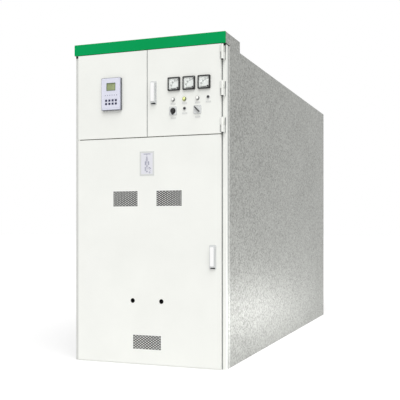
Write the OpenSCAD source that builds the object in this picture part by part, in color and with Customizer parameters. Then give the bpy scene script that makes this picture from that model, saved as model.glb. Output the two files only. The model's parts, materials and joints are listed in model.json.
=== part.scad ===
// Withdrawable metal-clad switchgear panel, +Z up, door face towards -Y, +X to the right seen from the front.
// The origin is on the floor, at the centre of the footprint.

/* [Cabinet] */
// Width over the side panels
body_w = 1400; // [1380:10:1500]
// Depth from the door face to the rear covers
body_d = 3000; // [2980:10:3200]
// Height of the main roof above the floor
body_h = 2600; // [2590:10:2700]
// Thickness of the side, roof and rear sheets
skin_t = 2; // [1.5:0.5:3]
// Inward fold along the edges of a side panel or rear cover
skin_fold = 30; // [25:1:35]
// Thickness of inner partitions and trays
plate_t = 3; // [2:0.5:4]
// Height of the header band above the main roof
header_h = 90; // [70:5:120]
// Depth of the header box
header_d = 290; // [250:10:340]
// Depth of the instrument compartment behind the door face
tray_d = 600; // [560:10:640]
// Thickness of the header band
fascia_t = 12; // [8:1:16]
// Height of a relief cover above the roof plate
relief_t = 4; // [3:1:8]

/* [Front posts] */
// Width of a post seen from the front
post_face = 28; // [24:1:32]
// Depth of a post seen from the side
post_depth = 66; // [55:1:80]
// How far the post face lies behind the door face
post_set = 20; // [12:1:24]
// Gap between the top of a post and the header band
post_drop = 10; // [8:1:20]

/* [Base] */
// Height of the base channels
base_h = 80; // [60:5:100]
// Width of the base channel flanges
base_w = 60; // [50:5:70]
// Wall of the base channels
base_t = 5; // [4:1:6]
// Distance of the anchor holes from the cabinet side, seen along X
anchor_x = 45; // [40:1:50]
// Distance of the anchor holes from the front and from the rear
anchor_y = 160; // [150:5:250]
// Radius of an anchor hole
anchor_r = 9; // [7:0.5:11]
// Radius of a cable entry in the floor plate
entry_r = 60; // [45:5:70]
// Distance of the cable entries from the rear
entry_y = 380; // [340:10:420]

/* [Doors] */
// Depth of a folded door tray
door_t = 40; // [36:1:44]
// Thickness of the door sheet
door_sheet = 2; // [1.5:0.5:3]
// Width of the return lip behind a door edge
door_lip = 18; // [14:1:24]
// Gap between a door edge and the post beside it
door_gap = 10; // [8:1:12]
// Gap below the main door
door_foot = 10; // [8:1:14]
// Height of the instrument compartment, from the door seam to the roof
lv_h = 722; // [700:1:740]
// Gap between the instrument doors and the main door
seam_gap = 8; // [6:1:10]
// Gap above the instrument doors
lv_top_gap = 6; // [5:1:8]
// Gap between the two instrument doors
lv_mid_gap = 4; // [3:1:6]
// Distance of the concealed pivots from the door edge
pivot_in = 8; // [7:0.5:9]
// Radius of the concealed pivot pins
pivot_r = 5; // [4:0.5:6]
// Depth of a pivot pin inside the door
pivot_len = 24; // [16:1:34]
// Radial running clearance of pins and shafts
run_gap = 0.1; // [0.05:0.01:0.1]

/* [Lift-off hinges] */
// Radius of a hinge barrel
barrel_r = 9; // [7:0.5:10]
// Height of a whole hinge
hinge_h = 117; // [90:1:130]
// Radius of the hinge pin
hinge_pin_r = 4; // [3:0.5:4.5]
// Distance of the barrel axis in front of the door face
barrel_out = 10; // [9.5:0.5:11]
// Distance of the barrel axis from the inner edge of the post
barrel_in = 8; // [2:1:12]

/* [Vents] */
// Width of a vent slot
vent_slot_w = 16; // [12:0.5:17]
// Height of a vent slot
vent_slot_h = 10; // [7:0.5:10]
// Spacing of the vent columns
vent_pitch_x = 29.9; // [28:0.1:33]
// Spacing of the upper vent rows
vent_pitch_z = 16.3; // [16:0.1:18]
// Spacing of the lower vent rows
low_vent_pitch_z = 20.6; // [18:0.1:22]
// Bare margin round the slots of a vent plate
vent_margin = 8; // [6:1:12]
// Distance of the upper vents from the middle
vent_x = 203; // [190:1:230]
// Height of the middle of the upper vents
vent_z = 1372; // [1300:1:1420]
// Height of the middle of the lower vent
low_vent_z = 187; // [170:1:220]

/* [Crank holes] */
// Distance of the crank holes from the middle
crank_x = 133; // [120:1:150]
// Height of the crank holes
crank_z = 528; // [515:1:540]
// Radius of a crank hole
crank_r = 17.5; // [14:0.5:20]
// Length of the guide sleeve of a crank hole, the sheet included
sleeve_len = 22; // [14:1:28]
// Wall of the guide sleeve
sleeve_wall = 3; // [2:0.5:4]

/* [Handles] */
// Width of a handle base
handle_w = 52; // [46:1:58]
// Height of a handle base
handle_h = 190; // [170:1:210]
// Thickness of a handle base
handle_t = 6; // [4:1:8]
// Width of a handle lever
lever_w = 38; // [32:1:42]
// Thickness of a handle lever
lever_t = 14; // [12:1:16]
// Radius of a handle spindle
spindle_r = 8; // [6:0.5:9]
// Length of a cam, from the spindle axis to its tip
cam_len = 46; // [34:1:48]
// Distance of the main handle from the edge of the main door
main_handle_in = 66; // [66:1:90]
// Height of the middle of the main handle
main_handle_z = 898; // [820:1:1100]
// Distance of the instrument handle from the middle of the cabinet
lv_handle_x = 64; // [56:1:66]
// Height of the middle of the instrument handle above the seam
lv_handle_up = 360; // [340:1:400]

/* [Meters and controls] */
// Side of a square meter
meter_w = 108; // [96:1:114]
// How far a meter stands out of the door
meter_out = 16; // [12:1:22]
// Depth of a meter body behind the door face
meter_body = 60; // [50:1:80]
// Place of the middle meter along X
meter_x = 385; // [376:1:392]
// Spacing of the meters
meter_pitch = 134; // [126:1:140]
// Height of the meters above the seam
meter_up = 420; // [414:1:440]
// Width of the black frame of a meter
meter_rim = 9; // [7:1:12]
// Length of a meter needle
needle_len = 60; // [50:1:64]
// Height of the lamp row above the seam
lamp_up = 295; // [290:1:306]
// Radius of a lamp or button bezel
bezel_r = 14.5; // [12:0.5:16]
// How far a bezel stands out of the door
bezel_out = 5; // [3:0.5:8]
// Radius of a lamp lens
lens_r = 11.5; // [9:0.5:12]
// Radius of a pushbutton
button_r = 10; // [8:0.5:11.5]
// Travel of a pushbutton
button_travel = 4; // [2:0.5:6]
// Side of a switch plate
switch_plate_w = 68; // [60:1:74]
// Thickness of a switch plate
switch_plate_t = 5; // [3:1:8]
// Height of the switch row above the seam
switch_up = 203; // [198:1:216]
// Radius of the selector knob
knob_r = 19; // [15:1:22]
// Length of the bar of the control handle
control_bar = 62; // [50:1:66]

/* [Relay] */
// Width of the relay front
relay_w = 190; // [170:1:210]
// Height of the relay front
relay_h = 275; // [260:1:300]
// How far the relay stands out of the door
relay_out = 25; // [18:1:32]
// Depth of the relay case behind the door face
relay_depth = 180; // [120:5:220]
// Distance of the relay from the middle of the cabinet
relay_x = 323; // [315:1:350]
// Height of the middle of the relay above the seam
relay_up = 373; // [365:1:400]
// Width of a relay key
key_w = 18; // [14:1:20]
// Height of a relay key
key_h = 16; // [12:1:18]
// Spacing of the key columns
key_pitch_x = 31; // [26:1:34]
// Spacing of the key rows
key_pitch_z = 27; // [22:1:30]
// Height of a key above the relay front
key_out = 3; // [2.5:0.5:4]
// Travel of a key
key_travel = 1.5; // [0.5:0.5:1.5]
// Distance of the upper key row below the middle of the relay
key_down = 58; // [54:1:64]

/* [Phases and contacts] */
// Spacing of the three phases
phase = 300; // [280:5:310]
// Height of the lower contacts
low_z = 860; // [850:5:880]
// Height of the upper contacts
high_z = 1440; // [1420:5:1450]
// Distance of the contact partition behind the door face
partition_y = 1250; // [1230:5:1300]
// Outer radius of a contact box at its mouth
box_r = 112; // [108:1:116]
// Wall of a contact box
box_wall = 12; // [8:1:14]
// Depth of a contact box behind the partition
box_len = 300; // [260:5:340]
// Radius of a fixed contact
contact_r = 24; // [20:1:26]
// Distance of a fixed contact's tip behind the partition
contact_in = 60; // [50:1:70]

/* [Breaker truck] */
// Racking travel from the service place to the test place
truck_travel = 350; // [300:5:350]
// Distance of the truck front behind the door face, in the service place
truck_front = 480; // [475:1:490]
// Width of the truck chassis
chassis_w = 1040; // [1000:5:1100]
// Depth of the truck chassis
chassis_d = 560; // [540:5:600]
// Height of the chassis side plates
chassis_h = 90; // [84:1:100]
// Wall of the chassis plates
chassis_t = 6; // [4:1:8]
// Radius of a truck wheel
wheel_r = 40; // [36:1:42]
// Width of a truck wheel
wheel_w = 24; // [18:1:30]
// Radius of the racking screw
screw_r = 12; // [10:0.5:14]
// Radius of a breaker pole
pole_r = 84; // [76:1:90]
// Radius of the insulating sleeve of a contact arm
arm_r = 36; // [32:1:40]
// Outer radius of the contact cluster on an arm
cluster_r = 46; // [42:1:48]
// How far a cluster grips its fixed contact
cluster_grip = 80; // [60:1:90]
// Gap between a cluster and its fixed contact
cluster_gap = 0.5; // [0.4:0.1:1]

/* [Shutters] */
// Height of a shutter
shutter_h = 214; // [210:1:230]
// Travel of a shutter
shutter_travel = 300; // [298:1:310]
// Sheet of a shutter
shutter_t = 3; // [2:0.5:3]
// Gap between a shutter and its guides
guide_gap = 0.5; // [0.4:0.1:1]

/* [Busbars and cable side] */
// Thickness of the copper bars
bar_t = 10; // [8:1:12]
// Width of the copper bars
bar_w = 80; // [60:5:100]
// Height of the main busbars
busbar_z = 2000; // [1900:10:2100]
// Distance of the current transformers behind the partition
ct_back = 650; // [640:5:680]
// Distance of the cable lugs from the rear
lug_back = 600; // [590:5:610]
// Height of the cable lugs
lug_z = 520; // [500:5:530]
// Height of the earthing shaft
earth_z = 300; // [280:5:310]
// Distance of the first busbar behind the partition
busbar_y = 600; // [580:10:640]
// Step from one busbar to the next
busbar_step = 250; // [220:10:260]
// Length of a post insulator
insulator_len = 310; // [300:5:320]
// Radius of a post insulator
insulator_r = 45; // [36:1:50]
// Width of a current transformer
ct_w = 200; // [180:5:220]
// Depth of a current transformer
ct_d = 360; // [340:5:400]
// Height of a current transformer above its stand
ct_h = 420; // [400:5:460]
// Length of an earthing blade, from its shaft axis to its tip
blade_len = 300; // [290:5:310]
// Radius of the earthing shaft
earth_r = 18; // [14:1:22]
// Width of an earthing blade
blade_w = 40; // [30:1:50]

/* [Hidden] */
$fn = 48;
cut = 1;  // how far a cutting solid runs past the face that it cuts

half_w = body_w / 2;
front_y = -body_d / 2;
rear_y = body_d / 2;
inner_w = half_w - skin_t;
post_y = front_y + post_set;
panel_y = post_y + post_depth;
post_in = half_w - post_face;
door_w = post_in - door_gap;
door_back = front_y + door_t;
seam_z = body_h - lv_h;
main_h = seam_z - seam_gap / 2 - door_foot;
lv_z = seam_z + seam_gap / 2;
lv_top = body_h - lv_top_gap;
lv_door_h = lv_top - lv_z;
pivot_x = -(door_w - pivot_in);
pivot_y = front_y + pivot_in;
partition_at = front_y + partition_y;
divider_z = (low_z + high_z) / 2 + 10;  // floor of the busbar compartment
tray_y = front_y + tray_d;  // rear wall of the instrument compartment
tray_z = seam_z - 16;
board_z = tray_z + 90;  // foot of the terminal board
flange_t = 10;
shutter_w = 2 * (phase + box_r + 22);
shutter_y = partition_at - flange_t - guide_gap - shutter_t;
fixed_tip = partition_at + contact_in;
grip_tip = fixed_tip + cluster_grip;
box_end = partition_at + box_len;
stud_end = box_end + 40;
truck_y = front_y + truck_front;
deck_z = crank_z + chassis_h / 2;
rail_z = crank_z - chassis_h / 2 - 10;  // running surface of the rails
wheel_x = chassis_w / 2 + 4 + wheel_w / 2;
beam_y = panel_y + skin_t + 1;
beam_t = 20;
pole_y = truck_y + chassis_d - pole_r - 16;
ct_y = partition_at + ct_back;
ct_z = base_h + plate_t + 60;
ct_top = ct_z + ct_h;
lug_y = rear_y - lug_back;
earth_y = lug_y + 110;
blade_rise = 105;  // angle of a closed earthing blade above the rearward level
phases = [-phase, 0, phase];

// A sheet tray: w along X, t along Y, h along Z, face in front, open behind between its lips.
module sheet_tray(w, t, h, sheet, lip) {
    difference() {
        cube([w, t, h]);
        translate([sheet, sheet, sheet]) cube([w - 2 * sheet, t - 2 * sheet, h - 2 * sheet]);
        translate([lip, t - sheet - cut, lip]) cube([w - 2 * lip, sheet + 2 * cut, h - 2 * lip]);
    }
}

// A cylinder along Y that starts at y = 0.
module rod_y(r, len) {
    rotate([-90, 0, 0]) cylinder(r = r, h = len);
}

// A cylinder along X that starts at x = 0.
module rod_x(r, len) {
    rotate([0, 90, 0]) cylinder(r = r, h = len);
}

// A plate with round corners that faces -Y: w along X, h along Z, centred, its back at y = 0.
module round_plate(w, h, t, r) {
    rotate([90, 0, 0]) linear_extrude(t) round_outline(w, h, r);
}

module round_outline(w, h, r) {
    square([w, h - 2 * r], center = true);
    square([w - 2 * r, h], center = true);
    for (sx = [-1, 1], sz = [-1, 1]) translate([sx * (w / 2 - r), sz * (h / 2 - r)]) circle(r);
}

// A folded channel that runs along Y, open towards +X.
module channel_y(w, h, t, len) {
    difference() {
        cube([w, len, h]);
        translate([t, -cut, t]) cube([w, len + 2 * cut, h - 2 * t]);
    }
}

module anchor_holes() {
    for (sx = [-1, 1], y = [front_y + anchor_y, rear_y - anchor_y])
        translate([sx * (half_w - anchor_x), y, -cut]) cylinder(r = anchor_r, h = base_t + 2 * cut);
}

module base_frame() {
    start = panel_y;
    len = rear_y - skin_fold - start;
    color("dimgray") difference() {
        union() {
            for (side = [0, 1]) mirror([side, 0, 0])
                translate([-inner_w, start, 0]) channel_y(base_w, base_h, base_t, len);
            for (y = [start, -base_w / 2, rear_y - skin_fold - base_w])
                translate([-inner_w + base_w, y, 0]) difference() {
                    cube([2 * (inner_w - base_w), base_w, base_h]);
                    translate([-cut, base_t, base_t])
                        cube([2 * (inner_w - base_w) + 2 * cut, base_w - 2 * base_t, base_h]);
                }
        }
        anchor_holes();
    }
}

module floor_plate() {
    start = panel_y;
    color("silver") translate([0, 0, base_h]) linear_extrude(plate_t) difference() {
        translate([-inner_w, start]) square([2 * inner_w, rear_y - skin_fold - start]);
        for (x = phases) translate([x, rear_y - entry_y]) circle(entry_r);
    }
}

// A folded side panel on the right: its face outwards, its edge folds inwards.
module side_panel() {
    color("darkgray") translate([half_w - skin_fold, panel_y, 0]) difference() {
        cube([skin_fold, rear_y - panel_y, body_h]);
        translate([-cut, skin_t, skin_t])
            cube([skin_fold - skin_t + cut, rear_y - panel_y - 2 * skin_t, body_h - 2 * skin_t]);
        translate([-cut, -cut, -cut]) cube([skin_fold - skin_t + cut, body_d, base_h + plate_t + cut]);
    }
}

module side_panel_right() { side_panel(); }
module side_panel_left() { mirror([1, 0, 0]) side_panel(); }

// Cross-section of the right post: face, door stop, side and rear flange.
module post_outline() {
    stop = post_depth - 26;
    difference() {
        translate([post_in, post_y]) square([post_face, post_depth]);
        translate([post_in + skin_t, post_y + skin_t])
            square([post_face - 2 * skin_t, post_depth - 2 * skin_t]);
        translate([post_in - cut, post_y + stop]) square([post_face - skin_fold / 2 + cut, post_depth]);
    }
}

// The lower half of a lift-off hinge with its pin, at the barrel axis.
module hinge_lower() {
    half = hinge_h / 2 - 0.5;
    cylinder(r = barrel_r, h = half);
    cylinder(r = hinge_pin_r, h = hinge_h - 12);
    leaf = post_y - (front_y - barrel_out);
    translate([4, 0, 0]) cube([4, leaf, half]);
    translate([4, leaf - 4, 0]) cube([half_w - barrel_x - 6, 4, half]);
}

barrel_x = post_in + barrel_in;
barrel_y = front_y - barrel_out;
hinge_foot = [for (k = [0:2]) lv_z + 8 + k * (lv_door_h - 16 - hinge_h) / 2];

// A pivot bracket in the gap above or below a left-hinged door, with its pins.
module pivot_bracket(z, t, up, down) {
    translate([-post_in - skin_t, post_y + skin_t, z])
        cube([post_in + skin_t + pivot_x + pivot_r, post_depth / 2, t]);
    translate([-post_in, pivot_y, z]) cube([post_in + pivot_x, post_set, t]);
    translate([pivot_x, pivot_y, z]) cylinder(r = pivot_r + 3, h = t);
    translate([pivot_x, pivot_y, z - down]) cylinder(r = pivot_r, h = down + t + up);
}

module front_posts() {
    bracket_t = seam_gap / 2;
    color("gainsboro") {
        for (side = [0, 1]) mirror([side, 0, 0])
            linear_extrude(body_h - post_drop) post_outline();
        for (z = hinge_foot) translate([barrel_x, barrel_y, z]) hinge_lower();
        pivot_bracket(seam_z - bracket_t / 2, bracket_t, pivot_len, pivot_len);
        pivot_bracket(door_foot / 2 - 1, bracket_t, pivot_len, 0);
    }
}

relief_y = [[door_back + 800, 300], [partition_at + 250, 500], [partition_at + 950, 500]];

module roof_plates() {
    color("darkgray") {
        translate([-half_w + skin_fold, panel_y, body_h - skin_t])
            cube([2 * (half_w - skin_fold), rear_y - panel_y, skin_t]);
        for (bay = relief_y) translate([-half_w + 200, bay[0], body_h]) difference() {
            cube([body_w - 400, bay[1], relief_t]);
            translate([40, 40, relief_t / 2]) cube([body_w - 480, bay[1] - 80, relief_t]);
        }
    }
}

module header_box() {
    color("darkgray") translate([-half_w, front_y + fascia_t, body_h]) difference() {
        cube([body_w, header_d - fascia_t, header_h]);
        translate([skin_t, skin_t, skin_t])
            cube([body_w - 2 * skin_t, header_d - fascia_t - 2 * skin_t, header_h - 2 * skin_t]);
    }
}

// The green band, folded back at its top and bottom; it carries the upper pivot of the left instrument door.
module header_fascia() {
    color("seagreen") {
        translate([-half_w, front_y, body_h]) difference() {
            cube([body_w, fascia_t, header_h]);
            translate([skin_t, skin_t, skin_t]) cube([body_w - 2 * skin_t, fascia_t, header_h - 2 * skin_t]);
        }
        translate([pivot_x, pivot_y, body_h - pivot_len - lv_top_gap / 2])
            cylinder(r = pivot_r, h = pivot_len + lv_top_gap / 2);
    }
}

// One rear cover: a folded tray with a raised field that stiffens it.
module rear_cover(z, h) {
    w = body_w - 2 * skin_fold - 0.6;
    translate([-w / 2, rear_y, z]) mirror([0, 1, 0]) difference() {
        sheet_tray(w, skin_fold - 4, h, skin_t, 26);
        translate([90, -cut, 90]) cube([w - 180, skin_t / 2 + cut, h - 180]);
    }
}

module rear_covers() {
    color("darkgray") {
        rear_cover(base_h + plate_t + 2, divider_z - base_h - plate_t - 4);
        rear_cover(divider_z + 2, body_h - divider_z - skin_t - 6);
    }
}

// Floor and rear wall of the instrument compartment, bent from one sheet.
module instrument_tray() {
    half = half_w - skin_fold - 0.3;
    top = body_h - skin_t - 0.3;
    color("gainsboro") translate([-half, 0, 0]) rotate([90, 0, 90]) linear_extrude(2 * half)
        polygon([[door_back + 10, tray_z], [tray_y, tray_z], [tray_y, top], [tray_y - plate_t, top],
            [tray_y - plate_t, tray_z + plate_t], [door_back + 10, tray_z + plate_t]]);
}

// Mounting plate with three rails of plug-in relays and terminals.
module terminal_plate() {
    board_w = 2 * inner_w - 200;
    board_h = lv_h - 182;
    rail_w = board_w - 60;
    rail_h = 35;
    row = (board_h - 30) / 3;
    unit_h = 75;
    color("whitesmoke") translate([0, tray_y - plate_t, board_z]) {
        translate([-board_w / 2, -14, 0]) cube([board_w, 2, board_h]);
        for (sx = [-1, 1], z = [30, board_h - 40]) translate([sx * rail_w / 2, -12, z]) rod_y(6, 12);
        for (k = [0:2]) translate([-rail_w / 2, -21.5, (k + 0.53) * row]) cube([rail_w, 7.5, rail_h]);
    }
    color("dimgray") for (k = [0:2], j = [0:9])
        translate([-rail_w / 2 + 30 + j * rail_w / 10.5, tray_y - plate_t - 21.5 - 50 - 10 * (k % 2),
            board_z + (k + 0.53) * row - (unit_h - rail_h) / 2]) cube([70 - 18 * (j % 3), 50 + 10 * (k % 2), unit_h]);
}

// The contact partition with its shutter guides, and the floor of the busbar compartment.
module partitions() {
    guide_x = shutter_w / 2 + guide_gap;
    guide_y = shutter_y - guide_gap - plate_t;
    guide_foot = low_z - shutter_h / 2 - shutter_travel - 20;
    guide_h = high_z - low_z + shutter_h + 2 * shutter_travel + 40;
    color("silver") {
        translate([-inner_w, partition_at, base_h + plate_t]) difference() {
            cube([2 * inner_w, plate_t, body_h - base_h - plate_t - skin_t - 0.3]);
            for (x = phases, z = [low_z, high_z]) translate([x + inner_w, -cut, z - base_h - plate_t])
                rod_y(box_r, plate_t + 2 * cut);
        }
        translate([-inner_w, partition_at + plate_t, divider_z])
            cube([2 * inner_w, rear_y - skin_fold - partition_at - plate_t, plate_t]);
        for (side = [0, 1]) mirror([side, 0, 0]) translate([guide_x, guide_y, guide_foot]) {
            cube([18, partition_at - guide_y, guide_h]);
            translate([-12, 0, 0]) cube([12 + cut, plate_t, guide_h]);
        }
    }
}

// Outline of a contact box: a stepped epoxy cup with sheds, turned round its axis.
module box_outline() {
    back = box_r * 0.72;
    difference() {
        union() {
            translate([0, -flange_t]) square([box_r + 20, flange_t]);
            polygon([[0, 0], [box_r - 0.5, 0], [box_r - 0.5, plate_t + 14], [back + 18, box_len * 0.45],
                [back, box_len * 0.5], [back, box_len], [0, box_len]]);
            for (k = [0:3]) translate([0, box_len * (0.56 + 0.1 * k)]) square([back + 14, 8]);
        }
        polygon([[0, -flange_t - cut], [box_r - box_wall, -flange_t - cut], [box_r - box_wall, 20],
            [back + 6 - box_wall, box_len * 0.45], [back - box_wall, box_len * 0.5],
            [back - box_wall, box_len - 2 * box_wall], [0, box_len - 2 * box_wall]]);
        translate([0, -flange_t - cut]) square([contact_r + 0.3, box_len * 2]);
    }
}

module contact_boxes() {
    color("saddlebrown") for (x = phases, z = [low_z, high_z])
        translate([x, partition_at, z]) rotate([-90, 0, 0]) rotate_extrude() box_outline();
}

// A fixed contact: a copper rod with a rounded tip, from inside the box to the bar behind it.
module fixed_contact() {
    translate([0, fixed_tip, 0]) rotate([-90, 0, 0]) rotate_extrude()
        polygon(concat([[0, 0], [contact_r - 8, 0]],
            [for (a = [15:15:90]) [contact_r - 8 + 8 * sin(a), 8 - 8 * cos(a)]],
            [[contact_r, stud_end - fixed_tip], [0, stud_end - fixed_tip]]));
}

bus_y = [for (k = [0:2]) partition_at + busbar_y + k * busbar_step];
bus_half = inner_w - insulator_len;

module main_busbars() {
    color("peru") for (k = [0:2]) {
        translate([phases[k], 0, high_z]) fixed_contact();
        translate([phases[k] - bar_w / 2, stud_end - bar_t, high_z - bar_w / 2])
            cube([bar_w, bus_y[k] - stud_end + bar_t, bar_t]);
        translate([phases[k] - bar_w / 2, stud_end - bar_t, high_z - bar_w / 2]) cube([bar_w, bar_t, bar_w]);
        translate([phases[k] - bar_w / 2, bus_y[k] - bar_t, high_z - bar_w / 2])
            cube([bar_w, bar_t, busbar_z + bar_w / 2 - high_z + bar_w / 2]);
        translate([-bus_half, bus_y[k], busbar_z - bar_w / 2]) cube([2 * bus_half, bar_t, bar_w]);
    }
}

// A ribbed post insulator along X, its foot at x = 0.
module post_insulator() {
    step = insulator_len / 9;
    rotate([0, 90, 0]) rotate_extrude() {
        square([insulator_r * 0.62, insulator_len]);
        square([insulator_r, 14]);
        for (k = [1:7]) translate([0, k * step])
            polygon([[0, 0], [insulator_r, step * 0.28], [insulator_r, step * 0.42], [0, step * 0.62]]);
        translate([0, insulator_len - 14]) square([insulator_r * 0.8, 14]);
    }
}

module post_insulators() {
    color("saddlebrown") for (k = [0:2], side = [0, 1]) mirror([side, 0, 0])
        translate([-inner_w, bus_y[k] + bar_t / 2, busbar_z]) post_insulator();
}

// A branch bar: lower fixed contact, links to the transformer and the cable lug, jaws for the earthing blade.
module branch_bar() {
    jaw_z = earth_z + blade_len * sin(blade_rise);
    front = ct_y - ct_d / 2 + 50;
    back = ct_y + ct_d / 2 - 50;
    translate([0, 0, low_z]) fixed_contact();
    translate([-bar_w / 2, stud_end - bar_t, low_z - bar_w / 2]) cube([bar_w, bar_t, bar_w]);
    translate([-bar_w / 2, stud_end - bar_t, low_z - bar_w / 2]) cube([bar_w, front - stud_end + bar_t, bar_t]);
    translate([-bar_w / 2, front - bar_t, ct_top + 50]) cube([bar_w, bar_t, low_z - ct_top - 50]);
    translate([-bar_w / 2, front - bar_t, ct_top + 50]) cube([bar_w, 50, bar_t]);
    translate([-bar_w / 2, back - 30, ct_top + 50]) cube([bar_w, lug_y - back + 30, bar_t]);
    difference() {
        translate([-bar_w / 2, lug_y - bar_t, lug_z - 60])
            cube([bar_w, bar_t, ct_top + 50 + bar_t - lug_z + 60]);
        for (z = [lug_z - 38, lug_z]) translate([0, lug_y - bar_t - cut, z]) rod_y(7, bar_t + 2 * cut);
    }
    for (s = [0, 1]) mirror([s, 0, 0]) translate([blade_w / 2 + 0.5, lug_y - cut, jaw_z - 30])
        cube([5, 60 + cut, 60]);
}

module branch_bars() {
    color("peru") for (x = phases) translate([x, 0, 0]) branch_bar();
}

// A cast-resin current transformer on its stand: foot, body with round shoulders, two terminals.
module current_transformer() {
    translate([-ct_w / 2, ct_y - ct_d / 2, base_h + plate_t]) cube([ct_w, ct_d, ct_z - base_h - plate_t]);
    translate([0, ct_y + ct_d / 2 - 20, ct_z + ct_h / 2]) round_plate(ct_w - 20, ct_h, ct_d - 40, 40);
    for (y = [ct_y - ct_d / 2 + 50, ct_y + ct_d / 2 - 50]) translate([0, y + 15, ct_top - 20]) {
        cylinder(r = 34, h = 50);
        cylinder(r = 22, h = 70);
    }
}

module current_transformers() {
    color("maroon") for (x = phases) translate([x, 0, 0]) current_transformer();
}

// Earthing switch frame: two bearing plates, a cross channel and the feet, with the shaft bores.
module earthing_frame() {
    plate_x = phase + 110;
    color("silver") {
        for (side = [0, 1]) mirror([side, 0, 0]) difference() {
            translate([plate_x, earth_y - 50, base_h + plate_t])
                cube([8, 100, earth_z + 50 - base_h - plate_t]);
            translate([plate_x - cut, earth_y, earth_z]) rod_x(earth_r + run_gap, 8 + 2 * cut);
        }
        translate([-plate_x, earth_y - 50, base_h + plate_t + 40]) cube([2 * plate_x, 100, 6]);
    }
}

// Truck rails: an angle on each side wall, with a running shelf for the wheels.
module truck_rails() {
    start = beam_y;
    len = partition_at - 40 - start;
    shelf = inner_w - wheel_x + wheel_w / 2 + 8;
    color("silver") for (side = [0, 1]) mirror([side, 0, 0])
        translate([-inner_w, start, 0]) rotate([90, 0, 0]) mirror([0, 0, 1]) linear_extrude(len)
            polygon([[0, rail_z - 60], [6, rail_z - 60], [6, rail_z - 6], [shelf, rail_z - 6],
                [shelf, rail_z], [6, rail_z], [6, rail_z + 90], [0, rail_z + 90]]);
}

// Fixed cross beam of the racking drive, with the screw bearing and a hole for the trip rod.
module racking_beam() {
    color("silver") difference() {
        translate([-inner_w + 6, beam_y, crank_z - 28]) cube([2 * inner_w - 12, beam_t, 56]);
        translate([-crank_x, beam_y - cut, crank_z]) rod_y(screw_r + run_gap, beam_t + 2 * cut);
        translate([crank_x, beam_y - cut, crank_z]) rod_y(crank_r, beam_t + 2 * cut);
    }
}

vent_cols = 8;
vent_rows = 8;
low_cols = 9;
low_rows = 6;

// Outline of a vent plate: full rows of slots with offset rows between them.
module vent_outline(cols, rows, px, pz) {
    w = (cols - 1) * px;
    h = (rows - 1) * pz;
    difference() {
        square([vent_span(cols, px, vent_slot_w), vent_span(rows, pz, vent_slot_h)], center = true);
        for (i = [0:cols - 1], k = [0:rows - 1]) translate([i * px - w / 2, k * pz - h / 2]) vent_slot();
        for (i = [0:cols - 2], k = [0:rows - 2])
            translate([(i + 0.5) * px - w / 2, (k + 0.5) * pz - h / 2]) vent_slot();
    }
}
function vent_span(n, pitch, slot) = (n - 1) * pitch + slot + 2 * vent_margin;

module vent_slot() {
    straight = vent_slot_w - vent_slot_h;
    square([straight, vent_slot_h], center = true);
    for (side = [-1, 1]) translate([side * straight / 2, 0]) circle(d = vent_slot_h, $fn = 16);
}

module vent_window(x, z, w, h) {
    translate([x - w / 2, front_y - cut, z - h / 2]) cube([w, door_sheet + 2 * cut, h]);
}

module vent_plates() {
    color("whitesmoke") translate([0, front_y + door_sheet, 0]) {
        for (sx = [-1, 1]) translate([sx * vent_x, 0, vent_z]) rotate([90, 0, 0])
            linear_extrude(door_sheet) vent_outline(vent_cols, vent_rows, vent_pitch_x, vent_pitch_z);
        translate([0, 0, low_vent_z]) rotate([90, 0, 0])
            linear_extrude(door_sheet) vent_outline(low_cols, low_rows, vent_pitch_x, low_vent_pitch_z);
    }
}

// Pivot bush in the corner of a left-hinged door.
module pivot_bush(z) {
    translate([pivot_x, pivot_y, z]) cylinder(r = pivot_in - 0.5, h = pivot_len + 6);
}

module pivot_bore(z) {
    translate([pivot_x, pivot_y, z - cut]) cylinder(r = pivot_r + run_gap, h = pivot_len + 2 * cut);
}

main_handle_x = door_w - main_handle_in;
lv_handle_z = seam_z + lv_handle_up;
handle_top = handle_h / 2 - 11 - 8;  // from the middle of a handle to its spindle axis

module spindle_hole(x, z) {
    translate([x, front_y - handle_t - cut, z + handle_top])
        rod_y(spindle_r + run_gap, handle_t + door_sheet + 2 * cut);
}

module main_door() {
    color("whitesmoke") difference() {
        union() {
            translate([-door_w, front_y, door_foot])
                sheet_tray(2 * door_w, door_t, main_h, door_sheet, door_lip);
            for (z = [door_foot, door_foot + main_h - pivot_len - 6]) pivot_bush(z);
            for (sx = [-1, 1]) translate([sx * crank_x, front_y, crank_z])
                rod_y(crank_r + sleeve_wall, sleeve_len);
        }
        pivot_bore(door_foot);
        pivot_bore(door_foot + main_h - pivot_len);
        for (sx = [-1, 1]) translate([sx * crank_x, front_y - cut, crank_z])
            rod_y(crank_r, sleeve_len + 2 * cut);
        for (sx = [-1, 1]) vent_window(sx * vent_x, vent_z, vent_span(vent_cols, vent_pitch_x, vent_slot_w),
            vent_span(vent_rows, vent_pitch_z, vent_slot_h));
        vent_window(0, low_vent_z, vent_span(low_cols, vent_pitch_x, vent_slot_w),
            vent_span(low_rows, low_vent_pitch_z, vent_slot_h));
        spindle_hole(main_handle_x, main_handle_z);
    }
}

// A swing handle. The base lies on the door face; the spindle turns in it and carries the cam behind the door.
module handle_base(x, z) {
    color("silver") difference() {
        translate([x, front_y, z]) round_plate(handle_w, handle_h, handle_t, 8);
        spindle_hole(x, z);
    }
}

boss_w = 16;
lever_axis_y = front_y - handle_t - 13;
lever_pin_r = 3;
knuckle_r = 4.8;  // radius of the spindle head round the cross pin

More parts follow.
